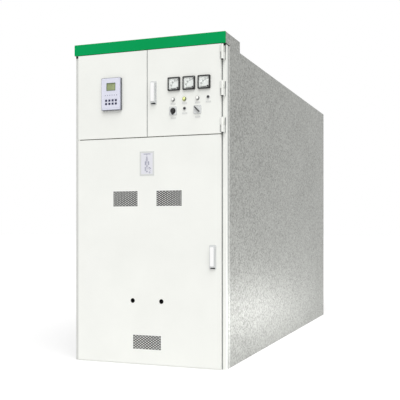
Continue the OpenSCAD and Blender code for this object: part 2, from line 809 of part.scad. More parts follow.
// The cam points along dir on the X axis and stops short of the frame, as with its catch drawn back.
module handle_spindle(x, z, dir) {
    back = front_y + door_t + 3;
    color("silver") translate([x, 0, z + handle_top]) {
        difference() {
            union() {
                translate([0, lever_axis_y + knuckle_r + 0.7, 0])
                    rod_y(spindle_r, back + 4 - lever_axis_y - knuckle_r - 0.7);
                translate([-boss_w / 2, lever_axis_y, 0]) rod_x(knuckle_r, boss_w);
                translate([-boss_w / 2, lever_axis_y, -knuckle_r]) cube([boss_w, 10, 2 * knuckle_r]);
            }
            translate([-boss_w / 2 - cut, lever_axis_y, 0]) rod_x(lever_pin_r + run_gap, boss_w + 2 * cut);
        }
        translate([0, back + 4, 0]) rotate([90, 0, 0]) linear_extrude(4) union() {
            circle(r = 16);
            translate([dir > 0 ? 0 : -cam_len + 10, -10]) square([cam_len - 10, 20]);
            translate([dir > 0 ? cam_len - 22 : -cam_len, -10]) square([22, 26]);
        }
    }
}

// The lever straddles the boss and lifts about its cross pin; its face is crowned by a long chamfer.
module handle_lever(x, z) {
    len = handle_h - 22;
    top = 8;
    color("white") translate([x, lever_axis_y, z + handle_top]) {
        difference() {
            intersection() {
                translate([0, lever_t / 2, top - len / 2]) round_plate(lever_w, len, lever_t, 7);
                translate([-lever_w / 2, 0, 0]) rotate([90, 0, 90]) linear_extrude(lever_w)
                    polygon([[-lever_t / 2 + 2, top], [lever_t / 2, top], [lever_t / 2, top - len + 14],
                        [lever_t / 2 - 6, top - len], [-lever_t / 2 + 3, top - len],
                        [-lever_t / 2, top - len + 10], [-lever_t / 2, top - 5]]);
            }
            translate([-boss_w / 2 - 0.4, -knuckle_r - 0.2, -28]) cube([boss_w + 0.8, lever_t, 40]);
        }
        translate([-lever_w / 2 + 4, 0, 0]) rod_x(lever_pin_r, lever_w - 8);
    }
}

module main_handle_base() { handle_base(main_handle_x, main_handle_z); }
module main_handle_spindle() { handle_spindle(main_handle_x, main_handle_z, 1); }
module main_handle_lever() { handle_lever(main_handle_x, main_handle_z); }
module lv_handle_base() { handle_base(lv_handle_x, lv_handle_z); }
module lv_handle_spindle() { handle_spindle(lv_handle_x, lv_handle_z, -1); }
module lv_handle_lever() { handle_lever(lv_handle_x, lv_handle_z); }

meter_z = seam_z + meter_up;
meters = [for (k = [-1:1]) meter_x + k * meter_pitch];
meter_neck_r = 34;  // round body behind the door
needle_at = meter_w / 2 - meter_rim - 9;  // from the middle of a meter to its needle axis
lamp_z = seam_z + lamp_up;
lamps = [meter_x - meter_pitch - 10, meter_x - 41, meter_x + 75];
button_places = [[meter_x + 169, lamp_z + 4], [meter_x - 40, seam_z + switch_up + 14]];
knob_place = [meter_x - meter_pitch - 9, seam_z + switch_up];
control_place = [meter_x + 75, seam_z + switch_up];
bush_r = 8;  // radius of the bodies that pass through the door

module door_hole(x, z, r) {
    translate([x, front_y - cut, z]) rod_y(r, door_sheet + 2 * cut);
}

// The upper half of a lift-off hinge: barrel with its blind bore, and the leaf on the door edge.
module hinge_upper() {
    half = hinge_h / 2 - 0.5;
    translate([0, 0, hinge_h - half]) difference() {
        union() {
            cylinder(r = barrel_r, h = half);
            translate([door_w - barrel_x, 0, 0]) cube([barrel_x - door_w, 4, half]);
            translate([door_w - barrel_x, 0, 0]) cube([4, barrel_out + 20, half]);
        }
        translate([0, 0, -cut]) cylinder(r = hinge_pin_r + run_gap, h = half - 6 + cut);
    }
}

module lv_door_right() {
    w = door_w - lv_mid_gap / 2;
    color("whitesmoke") difference() {
        union() {
            translate([lv_mid_gap / 2, front_y, lv_z]) sheet_tray(w, door_t, lv_door_h, door_sheet, door_lip);
            for (z = hinge_foot) translate([barrel_x, barrel_y, z]) hinge_upper();
        }
        for (x = meters) door_hole(x, meter_z, meter_neck_r);
        for (x = lamps) door_hole(x, lamp_z, bush_r);
        for (p = concat(button_places, [knob_place, control_place])) door_hole(p[0], p[1], bush_r);
        spindle_hole(lv_handle_x, lv_handle_z);
    }
}

module lv_door_left() {
    color("whitesmoke") difference() {
        union() {
            translate([-door_w, front_y, lv_z])
                sheet_tray(door_w - lv_mid_gap / 2, door_t, lv_door_h, door_sheet, door_lip);
            for (z = [lv_z, lv_top - pivot_len - 6]) pivot_bush(z);
        }
        pivot_bore(lv_z);
        pivot_bore(lv_top - pivot_len);
        translate([-relay_x - relay_w / 2 + 10, front_y - cut, relay_z - relay_h / 2 + 10])
            cube([relay_w - 20, door_sheet + 2 * cut, relay_h - 20]);
    }
}

// A square panel meter: black frame with a stepped rim, dial field sunk inside it, round body behind.
module panel_meter() {
    dial = meter_w - 2 * meter_rim;
    difference() {
        union() {
            round_plate(meter_w, meter_w, meter_out - 3, 6);
            round_plate(meter_w - 5, meter_w - 5, meter_out, 5);
        }
        translate([0, -meter_out + 8, 0]) round_plate(dial, dial, 8 + cut, 3);
    }
    rod_y(meter_neck_r, meter_body);
    translate([needle_at, -meter_out + 6, -needle_at]) rod_y(1.5, 3);
}

module panel_meters() {
    color("black") for (x = meters) translate([x, front_y, meter_z]) panel_meter();
}

// A needle with its hub and tail weight; it points left at zero.
module meter_needle(k) {
    hub_y = front_y - meter_out + 4.2;
    color("black") translate([meters[k] + needle_at, hub_y, meter_z - needle_at]) difference() {
        union() {
            rod_y(4, 3);
            rotate([90, 0, 0]) mirror([0, 0, 1]) linear_extrude(1)
                polygon([[0, -1.5], [0, 1.5], [-needle_len, 0.4], [-needle_len, -0.4]]);
            translate([0, 0, -1.5]) cube([6.5, 1, 3]);
        }
        translate([0, 1.3, 0]) rod_y(1.5 + run_gap, 4);
    }
}

module meter_needle_1() { meter_needle(0); }
module meter_needle_2() { meter_needle(1); }
module meter_needle_3() { meter_needle(2); }

// A bezel ring turned round Y: flat back, bevelled front, inner radius r_in.
module bezel(r_in) {
    rotate([90, 0, 0]) rotate_extrude() polygon([[r_in, 0], [bezel_r, 0], [bezel_r, bezel_out - 2],
        [bezel_r - 2, bezel_out], [r_in, bezel_out]]);
}

// A signal lamp: bezel, domed lens, and the body that passes through the door.
module signal_lamp() {
    dome = 9;
    ball = (lens_r * lens_r + dome * dome) / (2 * dome);
    color("silver") bezel(lens_r);
    color("white") rotate([90, 0, 0]) rotate_extrude() polygon(concat([[0, 0], [lens_r, 0]],
        [for (k = [0:6]) let (y = bezel_out + dome * k / 6)
            [k == 6 ? 0 : sqrt(ball * ball - pow(y - bezel_out - dome + ball, 2)), y]]));
    color("dimgray") bush(48);
}

module signal_lamps() {
    for (x = lamps) translate([x, front_y, lamp_z]) signal_lamp();
}

// The round body of a control through its door hole, with the nut that clamps it.
module bush(len) {
    rod_y(bush_r - 0.3, len);
    translate([0, door_sheet, 0]) rod_y(bush_r + 5, 4);
}

// Bezels of the two pushbuttons and square plates of the two switches, each with the body behind the door.
module control_bezels() {
    color("silver") for (p = button_places) translate([p[0], front_y, p[1]]) {
        bezel(button_r + 0.4);
        difference() {
            bush(46);
            translate([0, -cut, 0]) rod_y(4.4, 24);
        }
    }
    color("gainsboro") for (p = [knob_place, control_place]) translate([p[0], front_y, p[1]]) difference() {
        union() {
            round_plate(switch_plate_w, switch_plate_w, switch_plate_t, 5);
            bush(60);
        }
        translate([0, -switch_plate_t - cut, 0]) rod_y(5 + run_gap, 24);
    }
}

// A pushbutton: a dished cap with its stem.
module push_button(p) {
    out = bezel_out + button_travel + 3;
    back = button_travel + 0.5;
    color("black") translate([p[0], front_y, p[1]]) {
        rotate([90, 0, 0]) rotate_extrude() polygon([[0, back], [button_r, back], [button_r, out - 2],
            [button_r - 1.5, out], [button_r * 0.6, out - 0.6], [0, out - 1]]);
        translate([0, -back - 1, 0]) rod_y(4, 20);
    }
}

module push_button_upper() { push_button(button_places[0]); }
module push_button_lower() { push_button(button_places[1]); }

// The selector: a round black knob with a stem that points down, on a spindle.
module selector_knob() {
    color("black") translate([knob_place[0], front_y - switch_plate_t - 0.5, knob_place[1]]) {
        rotate([90, 0, 0]) rotate_extrude() polygon([[0, 0], [knob_r, 0], [knob_r, 10], [knob_r - 3, 16],
            [0, 16]]);
        rotate([90, 0, 0]) linear_extrude(16) polygon([[-6, -knob_r + 6], [6, -knob_r + 6],
            [4, -knob_r - 12], [-4, -knob_r - 12]]);
        rod_y(5, 20);
    }
}

// The control switch: a tapered bar handle that points to the upper left, on a round foot and spindle.
module control_handle() {
    half = control_bar / 2;
    color("black") translate([control_place[0], front_y - switch_plate_t - 0.5, control_place[1]]) {
        rotate([90, 0, 0]) cylinder(r = 14, h = 6);
        rotate([0, 45, 0]) rotate([90, 0, 0]) linear_extrude(24)
            polygon([[-half, -4], [-half, 4], [-8, 7], [8, 7], [half, 5], [half, -5], [8, -7], [-8, -7]]);
        rod_y(5, 20);
    }
}

relay_z = seam_z + relay_up;
key_places = [for (row = [0, 1], col = [0:3])
    [-relay_x + (col - 1.5) * key_pitch_x, relay_z - key_down - row * key_pitch_z]];
pocket = key_travel + 3.5;  // depth of a key pocket in the relay front

// The protection relay: bevelled front frame, sunk screen, key pockets, and the case behind the door.
module relay_unit() {
    screen = [92, 68];
    screen_up = 56;
    color("lavender") translate([-relay_x, front_y, relay_z]) difference() {
        union() {
            round_plate(relay_w, relay_h, relay_out - 5, 6);
            translate([0, -relay_out + 5, 0]) round_plate(relay_w - 8, relay_h - 8, 5, 5);
            translate([-relay_w / 2 + 10, 0, -relay_h / 2 + 10])
                cube([relay_w - 20, relay_depth, relay_h - 20]);
        }
        translate([-screen[0] / 2, -relay_out - cut, screen_up - screen[1] / 2])
            cube([screen[0], 3 + cut, screen[1]]);
        for (p = key_places) translate([p[0] + relay_x - key_w / 2 - 0.4, -relay_out - cut,
            p[1] - relay_z - key_h / 2 - 0.4]) cube([key_w + 0.8, pocket + cut, key_h + 0.8]);
    }
}

// A key with a crowned cap: its edges are bevelled all round.
module relay_key(k) {
    p = key_places[k];
    depth = 3 + key_out;
    bevel = 1.5;
    color("midnightblue") translate([p[0], front_y - relay_out + 3, p[1]]) {
        rotate([90, 0, 0]) linear_extrude(depth - bevel) round_outline(key_w, key_h, 2);
        rotate([90, 0, 0]) linear_extrude(depth) round_outline(key_w - 2 * bevel, key_h - 2 * bevel, 1.5);
    }
}

module relay_key_1() { relay_key(0); }
module relay_key_2() { relay_key(1); }
module relay_key_3() { relay_key(2); }
module relay_key_4() { relay_key(3); }
module relay_key_5() { relay_key(4); }
module relay_key_6() { relay_key(5); }
module relay_key_7() { relay_key(6); }
module relay_key_8() { relay_key(7); }

stub_r = 12;  // radius of the stub axles
axle_z = rail_z + wheel_r;
front_axle_y = truck_y + 90;
rear_axle_y = truck_y + chassis_d - 70;
trip_r = 10;  // radius of the trip rod
trip_travel = 8;

// Truck chassis: an open box of plates under a deck, with the nut block of the racking screw.
module truck_chassis() {
    half = chassis_w / 2;
    color("silver") difference() {
        union() {
            translate([-half, truck_y, deck_z - chassis_h]) difference() {
                cube([chassis_w, chassis_d, chassis_h]);
                translate([chassis_t, chassis_t, -cut])
                    cube([chassis_w - 2 * chassis_t, chassis_d - 2 * chassis_t, chassis_h - chassis_t + cut]);
            }
            translate([-crank_x - 30, truck_y, crank_z - 30]) cube([60, 55, 60]);
        }
        translate([-crank_x, truck_y - cut, crank_z]) rod_y(screw_r + cluster_gap, 56 + 2 * cut);
        translate([crank_x, truck_y - cut, crank_z]) rod_y(trip_r + run_gap, chassis_t + 2 * cut);
        for (side = [0, 1], y = [front_axle_y, rear_axle_y]) mirror([side, 0, 0])
            translate([half - chassis_t - cut, y, axle_z]) rod_x(stub_r + run_gap, chassis_t + 2 * cut);
    }
}

// Two wheels on stub axles: flat tread, hub and collar.
module wheel_pair(y) {
    hub = chassis_w / 2 + 0.5;
    color("dimgray") for (side = [0, 1]) mirror([side, 0, 0]) translate([0, y, axle_z])
        rotate([0, 90, 0]) rotate_extrude() polygon([[0, hub - 24], [stub_r, hub - 24], [stub_r, hub],
            [stub_r + 8, hub], [stub_r + 8, hub + 3], [wheel_r - 2, hub + 3], [wheel_r - 0.3, hub + 5],
            [wheel_r - 0.3, hub + 3 + wheel_w - 2], [wheel_r - 2, hub + 3 + wheel_w],
            [wheel_r - 10, hub + 3 + wheel_w], [wheel_r - 12, hub + wheel_w - 3],
            [stub_r + 6, hub + wheel_w - 3], [stub_r + 4, hub + 3 + wheel_w], [0, hub + 3 + wheel_w]]);
}

module front_wheels() { wheel_pair(front_axle_y); }
module rear_wheels() { wheel_pair(rear_axle_y); }

// Mechanism housing with its front cover, indicator window and two grab handles.
housing_w = 660;
housing_h = 900;
module breaker_housing() {
    front = truck_y + 16;
    depth = pole_y - pole_r - 40 - front;
    color("lightsteelblue") {
        difference() {
            union() {
                translate([-housing_w / 2, front + 4, deck_z]) cube([housing_w, depth - 4, housing_h]);
                translate([0, front + 4, deck_z + housing_h / 2 + 10])
                    round_plate(housing_w - 30, housing_h - 60, 6, 20);
            }
            translate([0, front, deck_z + housing_h * 0.72]) round_plate(220, 130, 10, 8);
            translate([-housing_w / 2 + plate_t, front + 4 + plate_t, deck_z + plate_t])
                cube([housing_w - 2 * plate_t, depth - 4 - 2 * plate_t, housing_h - 2 * plate_t]);
        }
        for (sx = [-1, 1]) translate([sx * (housing_w / 2 - 60), front - 2, deck_z + housing_h * 0.4])
            grab_handle();
    }
}

// A bent-rod grab handle that stands on a cover facing -Y.
module grab_handle() {
    r = 6;
    reach = 34;
    bend = 14;
    span = 130;
    for (s = [0, 1]) mirror([0, 0, s]) {
        translate([0, -reach + bend, span / 2]) rod_y(r, reach - bend);
        translate([0, -reach + bend, span / 2 - bend]) rotate([0, -90, 0]) rotate_extrude(angle = -90)
            translate([bend, 0]) circle(r);
        translate([0, -reach, 0]) cylinder(r = r, h = span / 2 - bend);
    }
}

// A breaker pole: an epoxy column with sheds between its two terminals, standing on the deck.
module breaker_pole() {
    top = high_z + 210;
    core = pole_r - 16;
    sheds = 9;
    step = (high_z - low_z - 2 * arm_r - 100) / sheds;
    rotate_extrude() {
        translate([0, deck_z]) square([pole_r, 18]);
        translate([0, deck_z]) square([core - 14, low_z - deck_z]);
        for (k = [0:2]) translate([0, deck_z + 70 + k * 55]) square([core, 10]);
        translate([0, low_z - arm_r - 30]) square([core + 8, 2 * arm_r + 60]);
        translate([0, low_z]) square([core - 8, high_z - low_z]);
        for (k = [0:sheds - 1]) translate([0, low_z + arm_r + 50 + k * step])
            polygon([[0, 0], [pole_r, step * 0.2], [pole_r, step * 0.34], [0, step * 0.6]]);
        translate([0, high_z - arm_r - 30]) square([core + 8, 2 * arm_r + 60]);
        polygon([[0, high_z], [core, high_z], [core, top - 30], [core - 30, top], [0, top]]);
    }
}

module breaker_poles() {
    color("firebrick") for (x = phases) translate([x, pole_y, 0]) breaker_pole();
}

// A contact arm: copper stem in an insulating sleeve, with a ring of sprung fingers at its end.
module contact_arm() {
    start = pole_y + pole_r - 8;
    len = grip_tip - start;
    fingers = 10;
    neck = len - cluster_grip - 50;
    difference() {
        rotate([-90, 0, 0]) rotate_extrude() polygon([[0, 0], [arm_r + 8, 0], [arm_r + 8, 12], [arm_r, 18],
            [arm_r, neck - 20], [arm_r - 8, neck - 12], [arm_r - 8, neck], [cluster_r - 4, neck],
            [cluster_r, neck + 6], [cluster_r, len - 30], [cluster_r - 4, len - 26], [cluster_r - 4, len - 20],
            [cluster_r, len - 16], [cluster_r - 3, len], [contact_r + cluster_gap + 4, len],
            [contact_r + cluster_gap, len - 6], [contact_r + cluster_gap, len - cluster_grip - 10],
            [0, len - cluster_grip - 10]]);
        for (k = [0:fingers - 1]) rotate([0, k * 360 / fingers, 0])
            translate([contact_r - 2, len - cluster_grip, -1.5]) cube([cluster_r, cluster_grip + cut, 3]);
    }
}

module contact_arms() {
    color("peru") for (x = phases, z = [low_z, high_z])
        translate([x, pole_y + pole_r - 8, z]) contact_arm();
}

// The trip button: a dished cap on a rod through the front plate of the chassis.
module trip_button() {
    color("firebrick") translate([crank_x, truck_y, crank_z]) {
        rotate([90, 0, 0]) rotate_extrude() polygon([[0, trip_travel + 0.5], [14, trip_travel + 0.5],
            [14, trip_travel + 4], [12.5, trip_travel + 5.5], [9, trip_travel + 5], [0, trip_travel + 4.5]]);
        translate([0, -trip_travel - 2, 0]) rod_y(trip_r, 40);
    }
}

// The racking screw: square drive end, collars either side of its bearing in the beam, plain threaded stem.
module racking_screw() {
    ahead = 34;
    color("gray") translate([-crank_x, 0, crank_z]) {
        translate([-8, beam_y - ahead, -8]) cube([16, 20, 16]);
        translate([0, beam_y - ahead + 18, 0]) rod_y(screw_r, ahead - 18 + truck_y + 90 - beam_y);
        for (y = [beam_y - 8.5, beam_y + beam_t + 0.5]) translate([0, y, 0]) rod_y(screw_r + 6, 8);
    }
}

// A shutter: a sheet with two stiffening angles across its front.
module shutter(z) {
    color("darkseagreen") translate([0, shutter_y, z]) {
        translate([-shutter_w / 2, 0, -shutter_h / 2]) cube([shutter_w, shutter_t, shutter_h]);
        for (s = [-1, 1]) translate([-shutter_w / 2 + 20, 0, s * shutter_h / 4]) {
            translate([0, -12, 0]) cube([shutter_w - 40, 12, 2.5]);
            translate([0, -12, 0]) cube([shutter_w - 40, 2.5, 10]);
        }
    }
}

module upper_shutter() { shutter(high_z + shutter_travel); }
module lower_shutter() { shutter(low_z - shutter_travel); }

// Earthing shaft with three blades that point to the rear when open.
module earthing_blades() {
    reach = phase + 110 + 8 + 24;
    color("peru") translate([0, earth_y, earth_z]) {
        translate([-reach, 0, 0]) rod_x(earth_r, 2 * reach);
        for (x = phases) translate([x - blade_w / 2, 0, 0]) {
            translate([0, 0, -4]) cube([blade_w, blade_len - 8, 8]);
            translate([0, blade_len - 8, 0]) rod_x(4, blade_w);
            translate([-8, 0, 0]) rod_x(earth_r + 10, blade_w + 16);
        }
    }
}

base_frame();
floor_plate();
side_panel_left();
side_panel_right();
front_posts();
roof_plates();
header_box();
header_fascia();
rear_covers();
instrument_tray();
terminal_plate();
partitions();
contact_boxes();
main_busbars();
branch_bars();
post_insulators();
current_transformers();
earthing_frame();
truck_rails();
racking_beam();
main_door();
vent_plates();
main_handle_base();
main_handle_spindle();
main_handle_lever();
lv_door_right();
panel_meters();
meter_needle_1();
meter_needle_2();
meter_needle_3();
signal_lamps();
control_bezels();
push_button_upper();
push_button_lower();
selector_knob();
control_handle();
lv_handle_base();
lv_handle_spindle();
lv_handle_lever();
lv_door_left();
relay_unit();
relay_key_1();
relay_key_2();
relay_key_3();
relay_key_4();
relay_key_5();
relay_key_6();
relay_key_7();
relay_key_8();
truck_chassis();
front_wheels();
rear_wheels();
breaker_housing();
breaker_poles();
contact_arms();
trip_button();
racking_screw();
upper_shutter();
lower_shutter();
earthing_blades();
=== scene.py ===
"""Looks of a metal-clad switchgear panel: finishes, small fittings, studio and camera."""
import json
import math

import bmesh
import bpy
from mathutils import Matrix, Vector


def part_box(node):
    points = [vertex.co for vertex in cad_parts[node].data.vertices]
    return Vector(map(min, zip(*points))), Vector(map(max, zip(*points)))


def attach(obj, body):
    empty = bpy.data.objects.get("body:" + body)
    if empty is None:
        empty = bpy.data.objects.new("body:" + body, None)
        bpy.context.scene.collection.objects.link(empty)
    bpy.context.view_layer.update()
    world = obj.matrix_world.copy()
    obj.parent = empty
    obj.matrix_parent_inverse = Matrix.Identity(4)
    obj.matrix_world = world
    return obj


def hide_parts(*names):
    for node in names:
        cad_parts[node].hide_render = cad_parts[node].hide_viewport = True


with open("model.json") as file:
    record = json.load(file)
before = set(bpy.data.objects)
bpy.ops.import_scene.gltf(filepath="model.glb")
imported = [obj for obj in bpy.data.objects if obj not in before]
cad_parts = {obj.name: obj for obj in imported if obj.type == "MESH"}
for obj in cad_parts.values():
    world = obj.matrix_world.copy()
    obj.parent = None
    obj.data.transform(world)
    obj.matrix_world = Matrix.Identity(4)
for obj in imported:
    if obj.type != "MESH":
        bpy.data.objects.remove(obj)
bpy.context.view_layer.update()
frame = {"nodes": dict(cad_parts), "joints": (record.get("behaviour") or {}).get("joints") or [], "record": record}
MM = 0.001

# The photograph's frame and the camera that it was taken with.
PHOTO_SIDE = 400
FOCAL_PX = 569.05
OPTICAL_CENTRE_PX = (322.74, 227.07)
CAMERA_AT = (2.620, -5.647, 1.137)
CAMERA_TURN = math.radians(15.116)
SENSOR_MM = 36.0


def linear(hex_colour):
    """Turns an sRGB hex value into linear red, green, blue and alpha."""
    parts = [int(hex_colour[i:i + 2], 16) / 255 for i in (1, 3, 5)]
    return tuple(c / 12.92 if c <= 0.04045 else ((c + 0.055) / 1.055) ** 2.4
                 for c in parts) + (1.0,)


def per_metre(size_mm):
    """Texture scale at which one feature is as large as the given size."""
    return 1000.0 / size_mm


def add(tree, kind, settings=None, links=None, stops=()):
    """Adds a node with its properties and inputs, its links, and a ramp's places and colours."""
    node = tree.nodes.new(kind)
    for key, value in (settings or {}).items():
        if isinstance(key, str) and hasattr(node, key):
            setattr(node, key, value)
        else:
            node.inputs[key].default_value = value
    for key, source in (links or {}).items():
        tree.links.new(source, node.inputs[key])
    for k, (place, hex_colour) in enumerate(stops):
        node.color_ramp.elements[k].position = place
        node.color_ramp.elements[k].color = linear(hex_colour)
    return node


def new_material(name):
    """An empty material: its tree, the place of a point on the object, and its output node."""
    material = bpy.data.materials.new(name)
    material.use_nodes = True
    tree = material.node_tree
    tree.nodes.clear()
    place = add(tree, "ShaderNodeTexCoord").outputs["Object"]
    return material, tree, place, add(tree, "ShaderNodeOutputMaterial")


def finish_with(tree, output, shader):
    tree.links.new(shader.outputs[0], output.inputs["Surface"])


def surface(tree, output, colour_by, tones, gloss_by, roughness, relief=None, settings=None,
            span=(0.3, 0.7)):
    """Ends a material in a surface whose colour, roughness and relief each follow a pattern.

    The tones are its colours at the two ends of the span, the roughness goes from its pattern's 0
    to its 1, and the relief is a pattern, a strength and a depth in millimetres.
    """
    ramp = add(tree, "ShaderNodeValToRGB", links={"Fac": colour_by}, stops=zip(span, tones))
    gloss = add(tree, "ShaderNodeMapRange", {"To Min": roughness[0], "To Max": roughness[1]},
                {"Value": gloss_by})
    links = {"Base Color": ramp.outputs["Color"], "Roughness": gloss.outputs["Result"]}
    if relief:
        height, strength, depth_mm = relief
        bump = add(tree, "ShaderNodeBump", {"Strength": strength, "Distance": depth_mm * MM},
                   {"Height": height})
        links["Normal"] = bump.outputs["Normal"]
    finish_with(tree, output, add(tree, "ShaderNodeBsdfPrincipled", settings, links))


def powder_coat(name, shade, light, roughness=0.42, peel=0.25, coat=0.12, shine=0.5):
    """Baked powder coat on sheet steel: an even satin colour, with orange peel in its shine."""
    material, tree, place, output = new_material(name)
    cloud = add(tree, "ShaderNodeTexNoise", {"Scale": per_metre(350), "Detail": 3.0},
                {"Vector": place})
    ripple = add(tree, "ShaderNodeTexNoise", {"Scale": per_metre(2.2), "Detail": 2.0},
                 {"Vector": place})
    surface(tree, output, cloud.outputs["Fac"], (shade, light), ripple.outputs["Fac"],
            (roughness - 0.05, roughness + 0.05), (ripple.outputs["Fac"], peel, 0.06),
            {"Coat Weight": coat, "Coat Roughness": 0.25, "Specular IOR Level": shine})
    return material


def galvanised_sheet(name, dark, light):
    """Hot-dip zinc: spangles that each catch the light a little differently, dull from weather."""
    material, tree, place, output = new_material(name)
    warp = add(tree, "ShaderNodeTexNoise", {"Scale": per_metre(22), "Detail": 3.0},
               {"Vector": place})
    ragged = add(tree, "ShaderNodeVectorMath",
                 {"operation": "MULTIPLY_ADD", 1: (14 * MM, 14 * MM, 14 * MM)},
                 {0: warp.outputs["Color"], 2: place})
    spangles = add(tree, "ShaderNodeTexVoronoi", {"Scale": per_metre(12)},
                   {"Vector": ragged.outputs["Vector"]})
    tone = add(tree, "ShaderNodeSeparateColor", links={"Color": spangles.outputs["Color"]})
    # Frost inside a spangle is finer than 1 mm; it is drawn 3 mm wide so that it can show.
    frost = add(tree, "ShaderNodeTexNoise", {"Scale": per_metre(3), "Detail": 4.0},
                {"Vector": place})
    cloud = add(tree, "ShaderNodeTexNoise", {"Scale": per_metre(600), "Detail": 2.0},
                {"Vector": place})
    frosting = add(tree, "ShaderNodeMapRange", {"To Min": 0.0, "To Max": 0.45},
                   {"Value": frost.outputs["Fac"]})
    clouding = add(tree, "ShaderNodeMapRange", {"To Min": 0.0, "To Max": 0.2},
                   {"Value": cloud.outputs["Fac"]})
    grain = add(tree, "ShaderNodeMath", {"operation": "MULTIPLY_ADD", 1: 0.55},
                {0: tone.outputs["Red"], 2: frosting.outputs["Result"]})
    mixed = add(tree, "ShaderNodeMath", {"operation": "MULTIPLY_ADD", 1: 0.8},
                {0: grain.outputs["Value"], 2: clouding.outputs["Result"]})
    surface(tree, output, mixed.outputs["Value"], (dark, light), tone.outputs["Green"],
            (0.38, 0.6), (grain.outputs["Value"], 0.35, 0.15), {"Metallic": 0.75}, (0.15, 0.85))
    return material


def plated_steel(name, dark, light, roughness=0.3):
    """Bright zinc or nickel plate: a clean metal with faint drawing lines."""
    material, tree, place, output = new_material(name)
    # Drawing lines are some 0.1 mm apart; they are drawn 1.2 mm apart so that they can show.
    along = add(tree, "ShaderNodeMapping",
                {"Scale": (per_metre(1.2), per_metre(1.2), per_metre(60))}, {"Vector": place})
    drawn = add(tree, "ShaderNodeTexNoise", {"Scale": 1.0, "Detail": 2.0},
                {"Vector": along.outputs["Vector"]}).outputs["Fac"]
    surface(tree, output, drawn, (dark, light), drawn, (roughness - 0.06, roughness + 0.08),
            (drawn, 0.2, 0.03), {"Metallic": 1.0})
    return material


def rolled_copper(name):
    """Rolled copper bar, a little oxidised: warm metal with darker clouds and a fine grain."""
    material, tree, place, output = new_material(name)
    cloud = add(tree, "ShaderNodeTexNoise", {"Scale": per_metre(70), "Detail": 5.0},
                {"Vector": place}).outputs["Fac"]
    # The rolled grain is some 0.2 mm wide; it is drawn 2 mm wide so that it can show.
    grain = add(tree, "ShaderNodeTexNoise", {"Scale": per_metre(2), "Detail": 3.0},
                {"Vector": place}).outputs["Fac"]
    surface(tree, output, cloud, ("#A8633F", "#D9936A"), cloud, (0.28, 0.48),
            (grain, 0.15, 0.05), {"Metallic": 1.0}, (0.35, 0.65))
    return material


def cast_epoxy(name, dark, light):
    """Cast epoxy resin: glossy and deep red-brown, with faint flow marks."""
    material, tree, place, output = new_material(name)
    flow = add(tree, "ShaderNodeTexNoise",
               {"Scale": per_metre(45), "Detail": 4.0, "Distortion": 0.8},
               {"Vector": place}).outputs["Fac"]
    surface(tree, output, flow, (dark, light), flow, (0.25, 0.38),
            settings={"Coat Weight": 0.4, "Coat Roughness": 0.15})
    return material


def moulded_plastic(name, dark, light, roughness=0.5, grain_mm=0.8):
    """Injection-moulded plastic or rubber: a spark-eroded grain that breaks up its highlight."""
    material, tree, place, output = new_material(name)
    # The grain is some 0.2 mm wide; it is drawn 0.8 mm wide so that it can show close up.
    grain = add(tree, "ShaderNodeTexNoise", {"Scale": per_metre(grain_mm), "Detail": 3.0},
                {"Vector": place}).outputs["Fac"]
    cloud = add(tree, "ShaderNodeTexNoise", {"Scale": per_metre(60), "Detail": 2.0},
                {"Vector": place}).outputs["Fac"]
    surface(tree, output, cloud, (dark, light), grain, (roughness - 0.08, roughness + 0.08),
            (grain, 0.3, 0.03))
    return material


def clear_acrylic(name):
    """Clear acrylic window: see-through, with a crisp reflection and faint wiping marks."""
    material, tree, place, output = new_material(name)
    marks = add(tree, "ShaderNodeTexNoise", {"Scale": per_metre(30), "Detail": 4.0},
                {"Vector": place})
    wiped = add(tree, "ShaderNodeMapRange", {"To Min": 0.01, "To Max": 0.05},
                {"Value": marks.outputs["Fac"]})
    gloss = add(tree, "ShaderNodeBsdfPrincipled",
                {"Transmission Weight": 1.0, "IOR": 1.49, "Base Color": linear("#FAFCFB")},
                {"Roughness": wiped.outputs["Result"]})
    clear = add(tree, "ShaderNodeBsdfTransparent", {"Color": linear("#FDFEFE")})
    finish_with(tree, output, add(tree, "ShaderNodeMixShader", {"Fac": 0.88},
                                  {1: gloss.outputs[0], 2: clear.outputs[0]}))
    return material


def lamp_lens(name, dark, light, glow):
    """Smooth polycarbonate lens: coloured right through, glossy, with a soft glow."""
    material, tree, place, output = new_material(name)
    cloud = add(tree, "ShaderNodeTexNoise", {"Scale": per_metre(6), "Detail": 1.0},
                {"Vector": place}).outputs["Fac"]
    surface(tree, output, cloud, (dark, light), cloud, (0.15, 0.25), settings={
        "Coat Weight": 0.6, "Coat Roughness": 0.08, "IOR": 1.58,
        "Emission Color": linear(light), "Emission Strength": glow})
    return material


def printed_foil(name, dark, light):
    """Printed polyester foil: flat and matte, with a faint weave of its print screen."""
    material, tree, place, output = new_material(name)
    # The screen is some 0.3 mm wide; it is drawn 1.5 mm wide so that it can show close up.
    screen = add(tree, "ShaderNodeTexNoise", {"Scale": per_metre(1.5), "Detail": 1.0},
                 {"Vector": place}).outputs["Fac"]
    surface(tree, output, screen, (dark, light), screen, (0.4, 0.5))
    return material


# Each vent's slotted field: its middle across and up, its width and its height. The two upper
# vents mirror each other. Its slots: their steps across and up, and the place of one slot.
UPPER_FIELD = (203 * MM, 1372 * MM, 228 * MM, 126 * MM)
LOWER_FIELD = (0.0, 187 * MM, 258 * MM, 115 * MM)
UPPER_SLOTS = (29.9 * MM, 16.3 * MM, 203 * MM + 14.95 * MM, 1372 * MM + 8.15 * MM)
LOWER_SLOTS = (29.9 * MM, 20.6 * MM, 0.0, 187 * MM + 10.3 * MM)
# How far the painted shade reaches round a slot: 1 is its middle, and -1 the middle between slots.
UPPER_SHADE_REACH, LOWER_SHADE_REACH = -0.32, -0.25


